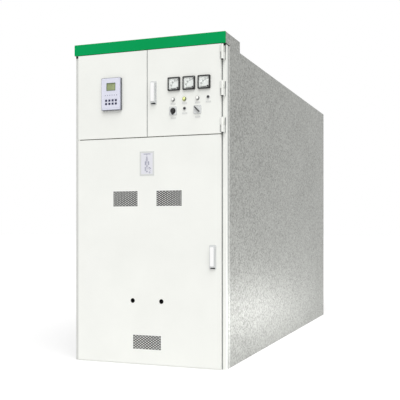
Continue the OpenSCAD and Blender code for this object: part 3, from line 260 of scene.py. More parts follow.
def near_slots(tree, place, field, slots, reach):
    """1 round the slots of a vent's field and 0 elsewhere, on both sides of the door's middle."""
    axes = add(tree, "ShaderNodeSeparateXYZ", links={"Vector": place})
    off_middle = add(tree, "ShaderNodeMath", {"operation": "ABSOLUTE"}, {0: axes.outputs["X"]})
    inside, waves = {}, {}
    for k, source in enumerate((off_middle.outputs["Value"], axes.outputs["Z"])):
        inside[k] = add(tree, "ShaderNodeMath",
                        {"operation": "COMPARE", 1: field[k], 2: field[k + 2] / 2},
                        {0: source}).outputs["Value"]
        turn = 2 * math.pi / slots[k]
        phase = add(tree, "ShaderNodeMath",
                    {"operation": "MULTIPLY_ADD", 1: turn, 2: -turn * slots[k + 2]}, {0: source})
        waves[k] = add(tree, "ShaderNodeMath", {"operation": "COSINE"},
                       {0: phase.outputs["Value"]}).outputs["Value"]
    lattice = add(tree, "ShaderNodeMath", {"operation": "MULTIPLY"}, waves)
    near = add(tree, "ShaderNodeMath", {"operation": "GREATER_THAN", 1: reach},
               {0: lattice.outputs["Value"]})
    field_only = add(tree, "ShaderNodeMath", {"operation": "MULTIPLY"}, inside)
    both = add(tree, "ShaderNodeMath", {"operation": "MULTIPLY"},
               {0: field_only.outputs["Value"], 1: near.outputs["Value"]})
    return both.outputs["Value"]


def vent_with_painted_shade(name, clean, slot_shade_tones):
    """Powder coat with painted shade round the vents' slots, which widens the dark of each slot."""
    material, tree, place, output = new_material(name)
    speck = add(tree, "ShaderNodeTexNoise", {"Scale": per_metre(25), "Detail": 5.0},
                {"Vector": place}).outputs["Fac"]
    upper = near_slots(tree, place, UPPER_FIELD, UPPER_SLOTS, UPPER_SHADE_REACH)
    lower = near_slots(tree, place, LOWER_FIELD, LOWER_SLOTS, LOWER_SHADE_REACH)
    # Painted shade: near black round every slot of the three vents.
    near_any_slot = add(tree, "ShaderNodeMath", {"operation": "MAXIMUM"}, {0: upper, 1: lower})
    shade_colour = add(tree, "ShaderNodeValToRGB", links={"Fac": speck}, stops=zip((0.3, 0.7), slot_shade_tones))
    colour = add(tree, "ShaderNodeMix", {"data_type": "RGBA"})
    colour.inputs["A"].default_value = linear(clean)
    tree.links.new(near_any_slot.outputs["Value"], colour.inputs["Factor"])
    tree.links.new(shade_colour.outputs["Color"], colour.inputs["B"])
    rough = add(tree, "ShaderNodeMapRange", {"To Min": 0.45, "To Max": 0.75}, {"Value": speck})
    finish_with(tree, output, add(tree, "ShaderNodeBsdfPrincipled", links={
        "Base Color": colour.outputs["Result"], "Roughness": rough.outputs["Result"]}))
    return material


# Finishes of the solids, by their slot in the record.
FINISH = {
    "door_white": powder_coat("door_powder_coat", "#F0F1EC", "#F4F5F0"),
    "frame_grey": powder_coat("frame_powder_coat", "#EEEFEA", "#F2F3EE"),
    "galvanised": galvanised_sheet("galvanised_sheet", "#7A7B77", "#B8B9B5"),
    "fascia_green": powder_coat("green_enamel", "#039A53", "#04A05A", 0.6, 0.15, 0.0, 0.05),
    "base_steel": powder_coat("primer_grey", "#4A4C4E", "#56585A", 0.55),
    "zinc_parts": plated_steel("zinc_plate", "#A9ABAC", "#C9CACB"),
    "copper": rolled_copper("rolled_copper"),
    "epoxy_brown": cast_epoxy("cast_epoxy", "#5A2418", "#743222"),
    "black_plastic": moulded_plastic("black_phenolic", "#141415", "#1E1E20", 0.38),
    "pale_plastic": moulded_plastic("grey_polycarbonate", "#D2D4D4", "#DEE0E0"),
    "relay_shell": moulded_plastic("relay_case_abs", "#DCDDEC", "#E4E5F2"),
    "key_navy": moulded_plastic("silicone_key", "#16173A", "#20214A", 0.6),
    "lamp": moulded_plastic("lamp_body_pa", "#D5D7D6", "#E3E5E4", 0.3),
    "handle_white": powder_coat("handle_powder_coat", "#FAFAF9", "#FFFFFE", 0.32, 0.1),
    "housing_grey": powder_coat("housing_powder_coat", "#AEB5BB", "#B9C0C6"),
    "shutter_green": powder_coat("shutter_powder_coat", "#7F9C84", "#8AA88F"),
    "red_button": moulded_plastic("red_melamine", "#A31414", "#B81C1A", 0.3),
}
# Nodes that differ from the others of their slot.
OWN_FINISH = {
    # The vent plates are white, with painted shade round their slots.
    "vent_plates": vent_with_painted_shade("vent_powder_coat", "#F6F7F3", ("#343534", "#424342")),
    "main_handle_lever": powder_coat("handle_body_coat", "#D2D4D4", "#D9DBDB", 0.36, 0.1),
    "main_handle_base": powder_coat("handle_dish_coat", "#D9DBDA", "#E0E2E1", 0.4, 0.1),
    "control_bezels": moulded_plastic("switch_plate_abs", "#DCDEDD", "#E6E8E7", 0.45),
    # Dark grey of the lamps' bezels: painted shade on their sides.
    "signal_lamps": moulded_plastic("lamp_bezel_shaded_grey", "#77797A", "#858788", 0.35),
}
OWN_FINISH["lv_handle_lever"] = OWN_FINISH["main_handle_lever"]
OWN_FINISH["lv_handle_base"] = OWN_FINISH["main_handle_base"]
slot_of = {part["node"]: part["material_slot"] for part in frame["record"]["subparts"]}
for name, piece in frame["nodes"].items():
    piece.data.materials.clear()
    piece.data.materials.append(OWN_FINISH.get(name, FINISH[slot_of[name]]))

# Finishes of the small fittings that are added here.
TRIM = {
    "lavender": printed_foil("relay_label_foil", "#DADBEA", "#E3E4F1"),
    "mimic": printed_foil("mimic_foil", "#DEDEE6", "#E5E5EB"),
    "mimic_line": printed_foil("mimic_ink", "#85869A", "#9293A6"),
    "label": printed_foil("label_foil", "#D9DAD7", "#E4E5E2"),
    "dial": printed_foil("dial_card", "#F3F3EF", "#F9F9F6"),
    "black": printed_foil("black_ink", "#17181A", "#222325"),
    "lcd": printed_foil("lcd_field", "#97A375", "#A2AE80"),
    "lcd_mark": printed_foil("lcd_segments", "#5F6B47", "#6B7750"),
    "lcd_edge": moulded_plastic("lcd_bezel", "#44563F", "#52654B", 0.4),
    "led": moulded_plastic("led_lens", "#8E90A2", "#9C9EAF", 0.25),
    "glass": clear_acrylic("clear_acrylic"),
    # Near black, mostly painted shade: under the hinges, at the posts' tops, in the crank holes and under the
    # handles' levers.
    "black_shade": moulded_plastic("black_painted_shade", "#161718", "#202122", 0.7),
    # Dark grey of painted shadow beside the hinges.
    "shadow": moulded_plastic("painted_shadow_grey", "#6F7173", "#7C7E80", 0.5),
    # Dark grey of painted shade on the sides of the relay's case.
    "surround": moulded_plastic("relay_side_shade_grey", "#63656A", "#6E7075", 0.5),
    "filter": moulded_plastic("filter_mat", "#161718", "#202122", 0.95, 2.5),
    "white_lens": lamp_lens("white_lens", "#F1F1EC", "#FBFBF7", 0.1),
    "yellow_lens": lamp_lens("yellow_lens", "#DDE583", "#E9F19A", 0.2),
    # Nickel rings of the lamps, darkened as painted shade on their sides.
    "lamp_collar": plated_steel("lamp_ring_shaded_nickel", "#6C6E70", "#7C7E80", 0.4),
    # Grey of painted shade round the switch plates' edges.
    "plate_rim": moulded_plastic("switch_plate_edge_shade", "#A9ABAC", "#B3B5B6", 0.5),
    "gasket": moulded_plastic("silicone_gasket", "#BFC1C1", "#C8CACA", 0.6),
    "foot": moulded_plastic("switch_foot_abs", "#CDCFCE", "#D7D9D8", 0.45),
    # Pale grey of painted shade on the left post's face.
    "post_shade": moulded_plastic("post_shade_grey", "#D2D3D0", "#D8D9D6", 0.7),
    # Pale yellow: painted glow of the lit lamp on the door.
    "halo": printed_foil("painted_lamp_glow", "#E6EC9C", "#EAF0A6"),
    "mimic_rim": printed_foil("mimic_rim_foil", "#D2D4D1", "#D9DBD8"),
    # Mid grey of painted shade: in the gaps beside the doors and hinges, on the low-voltage doors' seam and at the
    # side sheets' laps.
    "gap": moulded_plastic("gap_shade_grey", "#8B8D8D", "#969898", 0.7),
    # A lighter copy of the galvanised sheet: painted light from the floor on the laps.
    "lap": galvanised_sheet("galvanised_lap_painted_light", "#9FA09C", "#D3D4D0"),
    "chrome": plated_steel("nickel_ring", "#C4C5C6", "#DCDDDE", 0.15),
}


class Shape:
    """Points and faces of one piece, gathered from several solids."""

    def __init__(self):
        self.points = []
        self.faces = []

    def loft(self, place, rings, ends=(True, True)):
        """Skins a row of rings: outlines, each with its height above the face it stands on."""
        first = len(self.points)
        count = len(rings[0][0])
        for outline, height in rings:
            self.points += [place(u, v, height) for u, v in outline]
        for level in range(len(rings) - 1):
            low = first + level * count
            for k in range(count):
                nxt = (k + 1) % count
                self.faces.append((low + k, low + nxt, low + count + nxt, low + count + k))
        last = first + (len(rings) - 1) * count
        if ends[0]:
            self.faces.append(tuple(first + k for k in reversed(range(count))))
        if ends[1]:
            self.faces.append(tuple(last + k for k in range(count)))
        return self

    def plate(self, place, width, height, thick, corner=2 * MM, bevel=0.4 * MM, at=(0, 0),
              foot=0.0):
        """A plate with round corners and a bevelled front edge."""
        whole = rounded(width, height, corner, at)
        front = rounded(width - 2 * bevel, height - 2 * bevel, max(corner - bevel, 0.1 * MM), at)
        return self.loft(place, [(whole, foot), (whole, foot + thick - bevel),
                                 (front, foot + thick)])

    def border(self, place, width, height, rim, thick, corner=2 * MM, at=(0, 0), foot=0.0):
        """A rectangular frame: a rim with a bevelled outer edge round an open field."""
        bevel = 0.3 * MM
        outer = rounded(width, height, corner, at)
        inner = rounded(width - 2 * rim, height - 2 * rim, corner / 2, at)
        soft = rounded(width - 2 * bevel, height - 2 * bevel, corner, at)
        return self.loft(place, [(inner, foot), (outer, foot), (outer, foot + thick - bevel),
                                 (soft, foot + thick), (inner, foot + thick), (inner, foot)],
                         (False, False))

    def turned(self, place, profile, at=(0, 0), count=32, ends=(True, True)):
        """A body turned round the face's normal; the profile is pairs of radius and height."""
        return self.loft(place, [(ring(radius, count, at), up) for radius, up in profile], ends)

    def bar(self, place, start, end, width, thick, foot=0.0):
        """A flat straight bar from start to end."""
        start, end = Vector(start), Vector(end)
        along = end - start
        side = Vector((-along.y, along.x)).normalized() * width / 2
        outline = [(c.x, c.y) for c in (start - side, end - side, end + side, start + side)]
        return self.loft(place, [(outline, foot), (outline, foot + thick)])

    def bolt(self, place, across, turn):
        """A hexagon bolt head on its washer, in proportion to its width across flats."""
        self.turned(place, [(across * 0.95, 0.0), (across * 0.95, across * 0.12),
                            (across * 0.9, across * 0.16)], count=24)
        corner = across / 2 / math.cos(math.pi / 6)
        head = ring(corner, 6, turn=turn)
        return self.loft(place, [(head, across * 0.16), (head, across * 0.66),
                                 (ring(corner * 0.88, 6, turn=turn), across * 0.74)])

    def screw(self, place, radius, at):
        """A pan-head screw; its cross recess is drawn as four raised lobes round the cross."""
        self.turned(place, [(radius, 0.0), (radius, radius * 0.35),
                            (radius * 0.85, radius * 0.55), (radius * 0.62, radius * 0.66)],
                    at, 20)
        for k in range(4):
            spot = Vector(at) + toward(0.6 + k * math.pi / 2) * radius * 0.42
            self.loft(place, [(ring(radius * 0.24, 8, spot), radius * 0.64),
                              (ring(radius * 0.18, 8, spot), radius * 0.74)])
        return self

    def done(self, name, material, body, slot, smooth=False):
        """Makes the piece, which rides on a body and takes the given finish; its slot is not used."""
        mesh = bpy.data.meshes.new(name)
        mesh.from_pydata(self.points, [], self.faces)
        mesh.validate()
        tidy = bmesh.new()
        tidy.from_mesh(mesh)
        bmesh.ops.recalc_face_normals(tidy, faces=tidy.faces)
        tidy.to_mesh(mesh)
        tidy.free()
        if smooth:
            mesh.shade_smooth()
            mesh.set_sharp_from_angle(angle=math.radians(35))
        mesh.materials.append(material)
        piece = bpy.data.objects.new(name, mesh)
        bpy.context.scene.collection.objects.link(piece)
        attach(piece, body)
        return piece


def rounded(width, height, corner, at=(0, 0), steps=4):
    """Outline of a rectangle with round corners."""
    points = []
    for quarter, (su, sv) in enumerate(((1, -1), (1, 1), (-1, 1), (-1, -1))):
        for k in range(steps + 1):
            angle = math.pi / 2 * (quarter - 1 + k / steps)
            points.append((at[0] + su * (width / 2 - corner) + corner * math.cos(angle),
                           at[1] + sv * (height / 2 - corner) + corner * math.sin(angle)))
    return points


def ring(radius, count=32, at=(0, 0), turn=0.0):
    """Outline of a circle, or of a regular polygon."""
    return [(at[0] + radius * math.cos(turn + 2 * math.pi * k / count),
             at[1] + radius * math.sin(turn + 2 * math.pi * k / count)) for k in range(count)]


def toward(angle):
    """Unit step on a face at an angle from the right."""
    return Vector((math.cos(angle), math.sin(angle)))


def in_mm(*points):
    """Points, or pairs of radius and height, that are given in millimetres."""
    return [tuple(c * MM for c in point) for point in points]


def rows_of(count, start, end):
    """Evenly spaced places from start to end."""
    return [start + (end - start) * k / (count - 1) for k in range(count)]


def on_front(x, z, y):
    """Places what stands on a face that looks towards -Y."""
    return lambda u, v, w: (x + u, y - w, z + v)


def on_rear(x, z, y):
    """Places what stands on a face that looks towards +Y."""
    return lambda u, v, w: (x - u, y + w, z + v)


def on_top(x, y, z):
    """Places what stands on a face that looks up."""
    return lambda u, v, w: (x + u, y + v, z + w)


def on_side(side, x, y, z):
    """Places what stands on the right side of the cubicle (1) or on its left side (-1)."""
    return lambda u, v, w: (side * (x + w), y + u, z + v)


def middle(node):
    low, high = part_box(node)
    return (low + high) / 2


PIVOT = {joint["name"]: Vector(joint["pos_m"]) for joint in frame["joints"] if "pos_m" in joint}
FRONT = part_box("main_door")[0].y
# The posts' faces lie behind the doors' faces.
POST_FACE = FRONT + 20 * MM

# Relay front: label panel, screen and indicator lamps.
RELAY_X = middle("relay_unit").x
RELAY_Z = middle("relay_unit").z
RELAY_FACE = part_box("relay_unit")[0].y
LABEL_W, LABEL_H, LABEL_T = 146 * MM, 240 * MM, 0.8 * MM
SCREEN_W, SCREEN_H, SCREEN_UP = 92 * MM, 68 * MM, 56 * MM
LCD_W, LCD_H, LCD_T, LCD_SUNK = 80 * MM, 60 * MM, 1 * MM, 2.2 * MM
LED_UP, LED_PITCH, LED_COUNT = -14 * MM, 21.6 * MM, 6
# How much narrower and lower the case is than its solid, and where the edge of its step and its
# flange begins, from the solid's edge.
CASE_TRIM = Vector((7 * MM, 0, 6 * MM))
STEP_EDGE, FLANGE_EDGE = 9.5 * MM, 6.5 * MM
# What the label leaves free round the screen, and beyond the middles of the outer keys.
SCREEN_GAP, KEY_GAP = 4 * MM, 13 * MM


def relay_case():
    """The relay's case with the slim bezel of the real one, and a dark grey frame round it that paints the shade
    on the case's sides.
    """
    low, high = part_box("relay_unit")
    mesh = frame["nodes"]["relay_unit"].data.copy()
    mesh.name = "relay_case"
    for point in mesh.vertices:
        # The front step lies inside the flange; what is behind the door isn't touched.
        edge = STEP_EDGE if point.co.y < FRONT - 10 * MM else FLANGE_EDGE
        if point.co.y < FRONT + 1 * MM:
            for axis in (0, 2):
                if point.co[axis] > high[axis] - edge:
                    point.co[axis] -= CASE_TRIM[axis]
    case = bpy.data.objects.new("relay_case", mesh)
    bpy.context.scene.collection.objects.link(case)
    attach(case, "lv_door_left")
    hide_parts("relay_unit")
    centre = (low + high - CASE_TRIM) / 2
    size = high - low - CASE_TRIM
    # Painted shade: a dark frame hugging the relay case's sides.
    Shape().border(on_front(centre.x, centre.z, FRONT), size.x + 1.6 * MM, size.z + 1.6 * MM,
                   2 * MM, 21 * MM, 6 * MM).done(
        "relay_side_shade", TRIM["surround"], "lv_door_left", "relay_shell")


def relay_front():
    """Label, screen, indicator lamps and corner screws on the relay's face."""
    face = on_front(RELAY_X, RELAY_Z, RELAY_FACE)
    on_screen = (0, SCREEN_UP)

    def relay_piece(shape, name, trim, smooth=False):
        shape.done(name, TRIM[trim], "lv_door_left", "relay_shell", smooth)

    keys = [middle(f"relay_key_{k}").z - RELAY_Z for k in range(1, 9)]
    free_w, free_h = SCREEN_W / 2 + SCREEN_GAP, SCREEN_H / 2 + SCREEN_GAP
    label = Shape()
    # The label leaves the screen and the key field free, so it is laid in strips.
    for low, high in ((-LABEL_H / 2, min(keys) - KEY_GAP),
                      (max(keys) + KEY_GAP, SCREEN_UP - free_h),
                      (SCREEN_UP + free_h, LABEL_H / 2)):
        label.plate(face, LABEL_W, high - low, LABEL_T, 1.5 * MM, 0.2 * MM, (0, (low + high) / 2))
    for side in (-1, 1):
        label.plate(face, LABEL_W / 2 - free_w, 2 * free_h, LABEL_T, 0.5 * MM, 0.2 * MM,
                    (side * (LABEL_W / 2 + free_w) / 2, SCREEN_UP))
    relay_piece(label, "relay_label", "lavender")
    relay_piece(Shape().border(face, SCREEN_W + 8 * MM, SCREEN_H + 8 * MM, 9 * MM, 1.4 * MM,
                               2 * MM, on_screen), "relay_screen_surround", "lavender")
    relay_piece(Shape().border(face, LCD_W + 5 * MM, LCD_H + 5 * MM, 4 * MM, 2.2 * MM, 2 * MM,
                               on_screen), "relay_screen_frame", "lcd_edge")
    relay_piece(Shape().plate(face, SCREEN_W - 1 * MM, SCREEN_H - 1 * MM, LCD_T, 0.5 * MM,
                              0.2 * MM, on_screen, -LCD_SUNK), "relay_screen", "lcd")
    segments = Shape()
    for row, length in enumerate((58, 46, 52, 38, 50)):
        start, end = in_mm((-34, 20 - row * 10), (-34 + length, 20 - row * 10))
        segments.bar(face, Vector(start) + Vector(on_screen), Vector(end) + Vector(on_screen),
                     2.2 * MM, 0.1 * MM, LCD_T - LCD_SUNK)
    relay_piece(segments, "relay_screen_segments", "lcd_mark")
    leds = Shape()
    for k in range(LED_COUNT):
        leds.turned(face, [(4 * MM, LABEL_T)] + in_mm((4, 1.6), (3.2, 2.6), (1.8, 3.1)),
                    ((k - (LED_COUNT - 1) / 2) * LED_PITCH, LED_UP), 16)
    relay_piece(leds, "relay_leds", "led", True)
    screws = Shape()
    for at in in_mm((-84, -125), (-84, 119), (77.5, -125), (77.5, 119)):
        screws.screw(face, 3.2 * MM, at)
    screws.done("relay_screws", FINISH["zinc_parts"], "lv_door_left", "zinc_parts", True)


# Meters: rim, how far they stand out and how deep the dial lies; the scale and its print.
METER_RIM, METER_OUT, METER_SINK = 9 * MM, 16 * MM, 8 * MM
DIAL_Y = FRONT - METER_OUT + METER_SINK
DIAL_T, INK_T = 0.6 * MM, 0.1 * MM
SCALE_R, SCALE_STEPS, STEPS_OF_LONG_MARK = 62 * MM, 20, 5
LONG_MARK, SHORT_MARK = 7 * MM, 4 * MM
NUMBERS, NUMBER_STEP, NUMBER_H, NUMBER_BOLD = 5, 25, 10.5 * MM, 0.35 * MM
# Small moves of the numbers to the right, which keep them clear of the scale and the rim.
NUMBER_NUDGE = (0, 1.5, 1, 0, -1)


def dial_angle(share):
    """The needle's angle at a share of the scale: lying to the left at 0, upright at 1."""
    return math.pi - math.pi / 2 * share


def meter_centres():
    """Middles and side of the three square meters."""
    low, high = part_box("panel_meters")
    side = high.z - low.z
    first = low.x + side / 2
    last = high.x - side / 2
    return [(x, (low.z + high.z) / 2, side) for x in (first, (first + last) / 2, last)]


def dial_number(text, at):
    """A raised number on a dial, as a mesh in place."""
    data = bpy.data.curves.new("dial_number_" + text, "FONT")
    data.body = text
    data.size = NUMBER_H
    data.align_x = "CENTER"
    data.align_y = "CENTER"
    data.extrude = INK_T / 2
    data.offset = NUMBER_BOLD
    number = bpy.data.objects.new("dial_number_" + text, data)
    number.location = at
    number.rotation_euler = (math.pi / 2, 0, 0)
    bpy.context.scene.collection.objects.link(number)
    bpy.context.view_layer.update()
    mesh = bpy.data.meshes.new_from_object(number)
    mesh.transform(number.matrix_world)
    bpy.data.objects.remove(number)
    return mesh


def meter_face(k, x, z, side):
    """Dial card, scale, window and pivot cap of one meter."""
    field = side - 2 * METER_RIM
    face = on_front(x, z, DIAL_Y)
    pivot = PIVOT[f"meter_needle_{k}_turn"]
    axis = Vector((pivot.x - x, pivot.z - z))
    Shape().plate(face, field - 0.6 * MM, field - 0.6 * MM, DIAL_T, 2 * MM, 0.1 * MM).done(
        f"meter_dial_{k}", TRIM["dial"], "lv_door_right", "pale_plastic")
    scale = Shape()
    for step in range(SCALE_STEPS + 1):
        long = step % STEPS_OF_LONG_MARK == 0
        away = toward(dial_angle(step / SCALE_STEPS))
        inner = SCALE_R - (LONG_MARK if long else SHORT_MARK)
        scale.bar(face, axis + away * inner, axis + away * SCALE_R, (2.2 if long else 1.1) * MM,
                  INK_T, DIAL_T)
    for step in range(SCALE_STEPS):
        start, end = [axis + toward(dial_angle((step + s) / SCALE_STEPS)) * (SCALE_R - 1 * MM)
                      for s in (0, 1)]
        scale.bar(face, start, end, 1.6 * MM, INK_T, DIAL_T)
    # The dark foot line under the resting needle.
    start, end = [axis + Vector(spot) for spot in in_mm((-60, -3), (-16, -3))]
    scale.bar(face, start, end, 3.2 * MM, INK_T, DIAL_T)
    scale.done(f"meter_scale_{k}", TRIM["black"], "lv_door_right", "black_plastic")
    Shape().plate(face, field - 0.4 * MM, field - 0.4 * MM, 1.2 * MM, 2 * MM, 0.3 * MM,
                  foot=5.5 * MM).done(
        f"meter_window_{k}", TRIM["glass"], "lv_door_right", "lamp")
    Shape().turned(face, in_mm((6.5, 6.7), (6.5, 8), (5, 9), (2, 9.2)), axis, 24).done(
        f"meter_pivot_cap_{k}", FINISH["black_plastic"], "lv_door_right", "black_plastic", True)


def meter_numbers(k):
    """Plain numbers round the scale of one meter, joined into one piece."""
    pivot = PIVOT[f"meter_needle_{k}_turn"]
    axis = Vector((pivot.x, pivot.z))
    joined = bmesh.new()
    for number in range(NUMBERS):
        spot = axis + toward(dial_angle(number / (NUMBERS - 1))) * (SCALE_R + 8 * MM)
        spot.x += NUMBER_NUDGE[number] * MM
        mesh = dial_number(str(number * NUMBER_STEP),
                           (spot.x, DIAL_Y - DIAL_T - INK_T / 2, spot.y))
        joined.from_mesh(mesh)
        bpy.data.meshes.remove(mesh)
    mesh = bpy.data.meshes.new(f"meter_numbers_{k}")
    joined.to_mesh(mesh)
    joined.free()
    mesh.materials.append(TRIM["black"])
    piece = bpy.data.objects.new(f"meter_numbers_{k}", mesh)
    bpy.context.scene.collection.objects.link(piece)
    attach(piece, "lv_door_right")


# Signal lamps: from the end of their row to the first one's middle, and on to the second's.
LAMP_SIDE, LAMP_STEP = 14.5 * MM, 103 * MM
YELLOW_LAMP = 2
# Profile of a lamp's dome, and closed profiles of the rings round lamps, buttons and selector.
LAMP_DOME = in_mm((11.6, 5), (11.7, 8), (11.4, 11), (10.2, 13.6), (7.8, 15.6), (4.6, 16.8),
                  (1.2, 17.1))
LAMP_RING = in_mm((11.9, 0.2), (15, 0.2), (15, 3.2), (13.8, 5), (13.2, 12), (12.4, 12.6),
                  (11.9, 12), (11.9, 0.2))
BUTTON_RING = in_mm((10.5, 0.2), (15, 0.2), (15, 3.2), (13.4, 5.4), (11, 5.6), (10.5, 5),
                    (10.5, 0.2))
SELECTOR_RING = in_mm((24, 0.2), (24, 2), (22, 3.4), (19.4, 3.8), (19.4, 0.2), (24, 0.2))
BUTTONS = ("push_button_upper", "push_button_lower")
SWITCHES = ("selector_turn", "control_handle_turn")
# Side of a switch's plate, and its three position marks: their angles, and start and end.
SWITCH_PLATE = 67 * MM
MARK_ANGLES, MARK_FROM, MARK_TO = (-45, 0, 45), 25 * MM, 30 * MM


def lamp_centres():
    low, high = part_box("signal_lamps")
    z = (low.z + high.z) / 2
    first = low.x + LAMP_SIDE
    return [(first, z), (first + LAMP_STEP, z), (high.x - LAMP_SIDE, z)]


def signal_lamp(k, x, z):
    """Lens and ring of one signal lamp; round the yellow one lies a pale yellow disc, the painted glow of its
    light on the door.
    """
    face = on_front(x, z, FRONT)
    lens = TRIM["yellow_lens" if k == YELLOW_LAMP else "white_lens"]
    Shape().turned(face, LAMP_DOME, count=40).done(
        f"lamp_lens_{k}", lens, "lv_door_right", "lamp", True)
    if k == YELLOW_LAMP:
        Shape().turned(on_front(x - 3 * MM, z, FRONT), in_mm((19, 0), (19, 0.15)), count=40).done(
            "yellow_lamp_glow_disc", TRIM["halo"], "lv_door_right", "lamp")
    # The ring's dark grey is painted shade on the lamp's side.
    Shape().turned(face, LAMP_RING, count=40, ends=(False, False)).done(
        f"lamp_ring_{k}", TRIM["lamp_collar"], "lv_door_right", "zinc_parts", True)


def control_fittings():
    """Rings of the pushbuttons; the two switches' collar, position marks, and grey rims that paint the shade at
    their plates' edges.
    """
    rings = Shape()
    for node in BUTTONS:
        at = middle(node)
        rings.turned(on_front(at.x, at.z, FRONT), BUTTON_RING, count=40, ends=(False, False))
    rings.done("push_button_rings", TRIM["chrome"], "lv_door_right", "zinc_parts", True)
    plate_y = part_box("control_bezels")[0].y
    marks, shaded_rims = Shape(), Shape()
    for joint in SWITCHES:
        face = on_front(PIVOT[joint].x, PIVOT[joint].z, plate_y)
        shaded_rims.border(face, SWITCH_PLATE, SWITCH_PLATE, 1.8 * MM, 0.5 * MM, 4 * MM)
        for degrees in MARK_ANGLES:
            away = toward(math.radians(90 - degrees))
            marks.bar(face, away * MARK_FROM, away * MARK_TO, 1.6 * MM, 0.15 * MM)
    shaded_rims.done("switch_plate_edge_shades", TRIM["plate_rim"], "lv_door_right", "pale_plastic")
    selector = PIVOT["selector_turn"]
    Shape().turned(on_front(selector.x, selector.z, plate_y), SELECTOR_RING, count=40,
                   ends=(False, False)).done(
        "selector_collar", FINISH["black_plastic"], "lv_door_right", "black_plastic", True)
    marks.done("switch_plate_marks", TRIM["black"], "lv_door_right", "black_plastic")


def control_lever():
    """The control switch's slim bar on a pale round foot, in place of its plainer solid."""
    axis = PIVOT["control_handle_turn"]
    face = on_front(axis.x, axis.z, FRONT - 5.5 * MM)
    foot = in_mm((5, -20), (5, 0), (13.5, 0), (13.5, 4), (12, 6), (4, 6.4))
    Shape().turned(face, foot, count=40).done(
        "control_foot", TRIM["foot"], "control_handle", "pale_plastic", True)
    plan = in_mm((-30, -3.2), (-30, 3.2), (0, 4.6), (30, 3.6), (30, -3.6), (0, -4.6))
    along, across = Vector((-1, 1)).normalized(), Vector((1, 1)).normalized()
    rings = []
    for height, bevel in in_mm((5, 0), (16, 0), (18, 1.2)):
        outline = []
        for a, b in plan:
            end_bevel = math.copysign(bevel, a) if a else 0.0
            spot = along * (a - end_bevel) + across * (b - math.copysign(bevel, b))
            outline.append((spot.x, spot.y))
        rings.append((outline, height))
    bar = Shape().loft(face, rings).done(
        "control_bar", FINISH["black_plastic"], "control_handle", "black_plastic")
    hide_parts("control_handle")


# How far the label strips hang below what they belong to.
LAMP_LABEL, BUTTON_LABEL, SWITCH_LABEL = 35 * MM, 38 * MM, 58 * MM
STRIP_W, STRIP_H, STRIP_T, STRIP_RIVET = 46 * MM, 15 * MM, 1.2 * MM, 19 * MM


def label_strips():
    """Bare engraved-plastic strips under the lamps, buttons and switches."""
    spots = [(x, z - LAMP_LABEL) for x, z in lamp_centres()]
    spots += [(middle(node).x, middle(node).z - BUTTON_LABEL) for node in BUTTONS]
    spots += [(PIVOT[joint].x, PIVOT[joint].z - SWITCH_LABEL) for joint in SWITCHES]
    strips, rivets = Shape(), Shape()
    for x, z in spots:
        face = on_front(x, z, FRONT)
        strips.plate(face, STRIP_W, STRIP_H, STRIP_T, 1.5 * MM, 0.4 * MM)
        for u in (-STRIP_RIVET, STRIP_RIVET):
            rivets.turned(face, in_mm((1.3, 1.2), (1.3, 1.6), (0.7, 1.9)), (u, 0), 12)
    strips.done("label_strips", TRIM["label"], "lv_door_right", "pale_plastic")
    rivets.done("label_rivets", FINISH["zinc_parts"], "lv_door_right", "zinc_parts", True)


MIMIC_W, MIMIC_H, MIMIC_T, MIMIC_Z = 134 * MM, 201 * MM, 1.2 * MM, 1660.5 * MM
MIMIC_RIM, MIMIC_RIVET_IN = 13 * MM, 6 * MM
# Widths of the diagram's lines in millimetres.
MIMIC_THIN, MIMIC_LINE = 1.8, 2.4


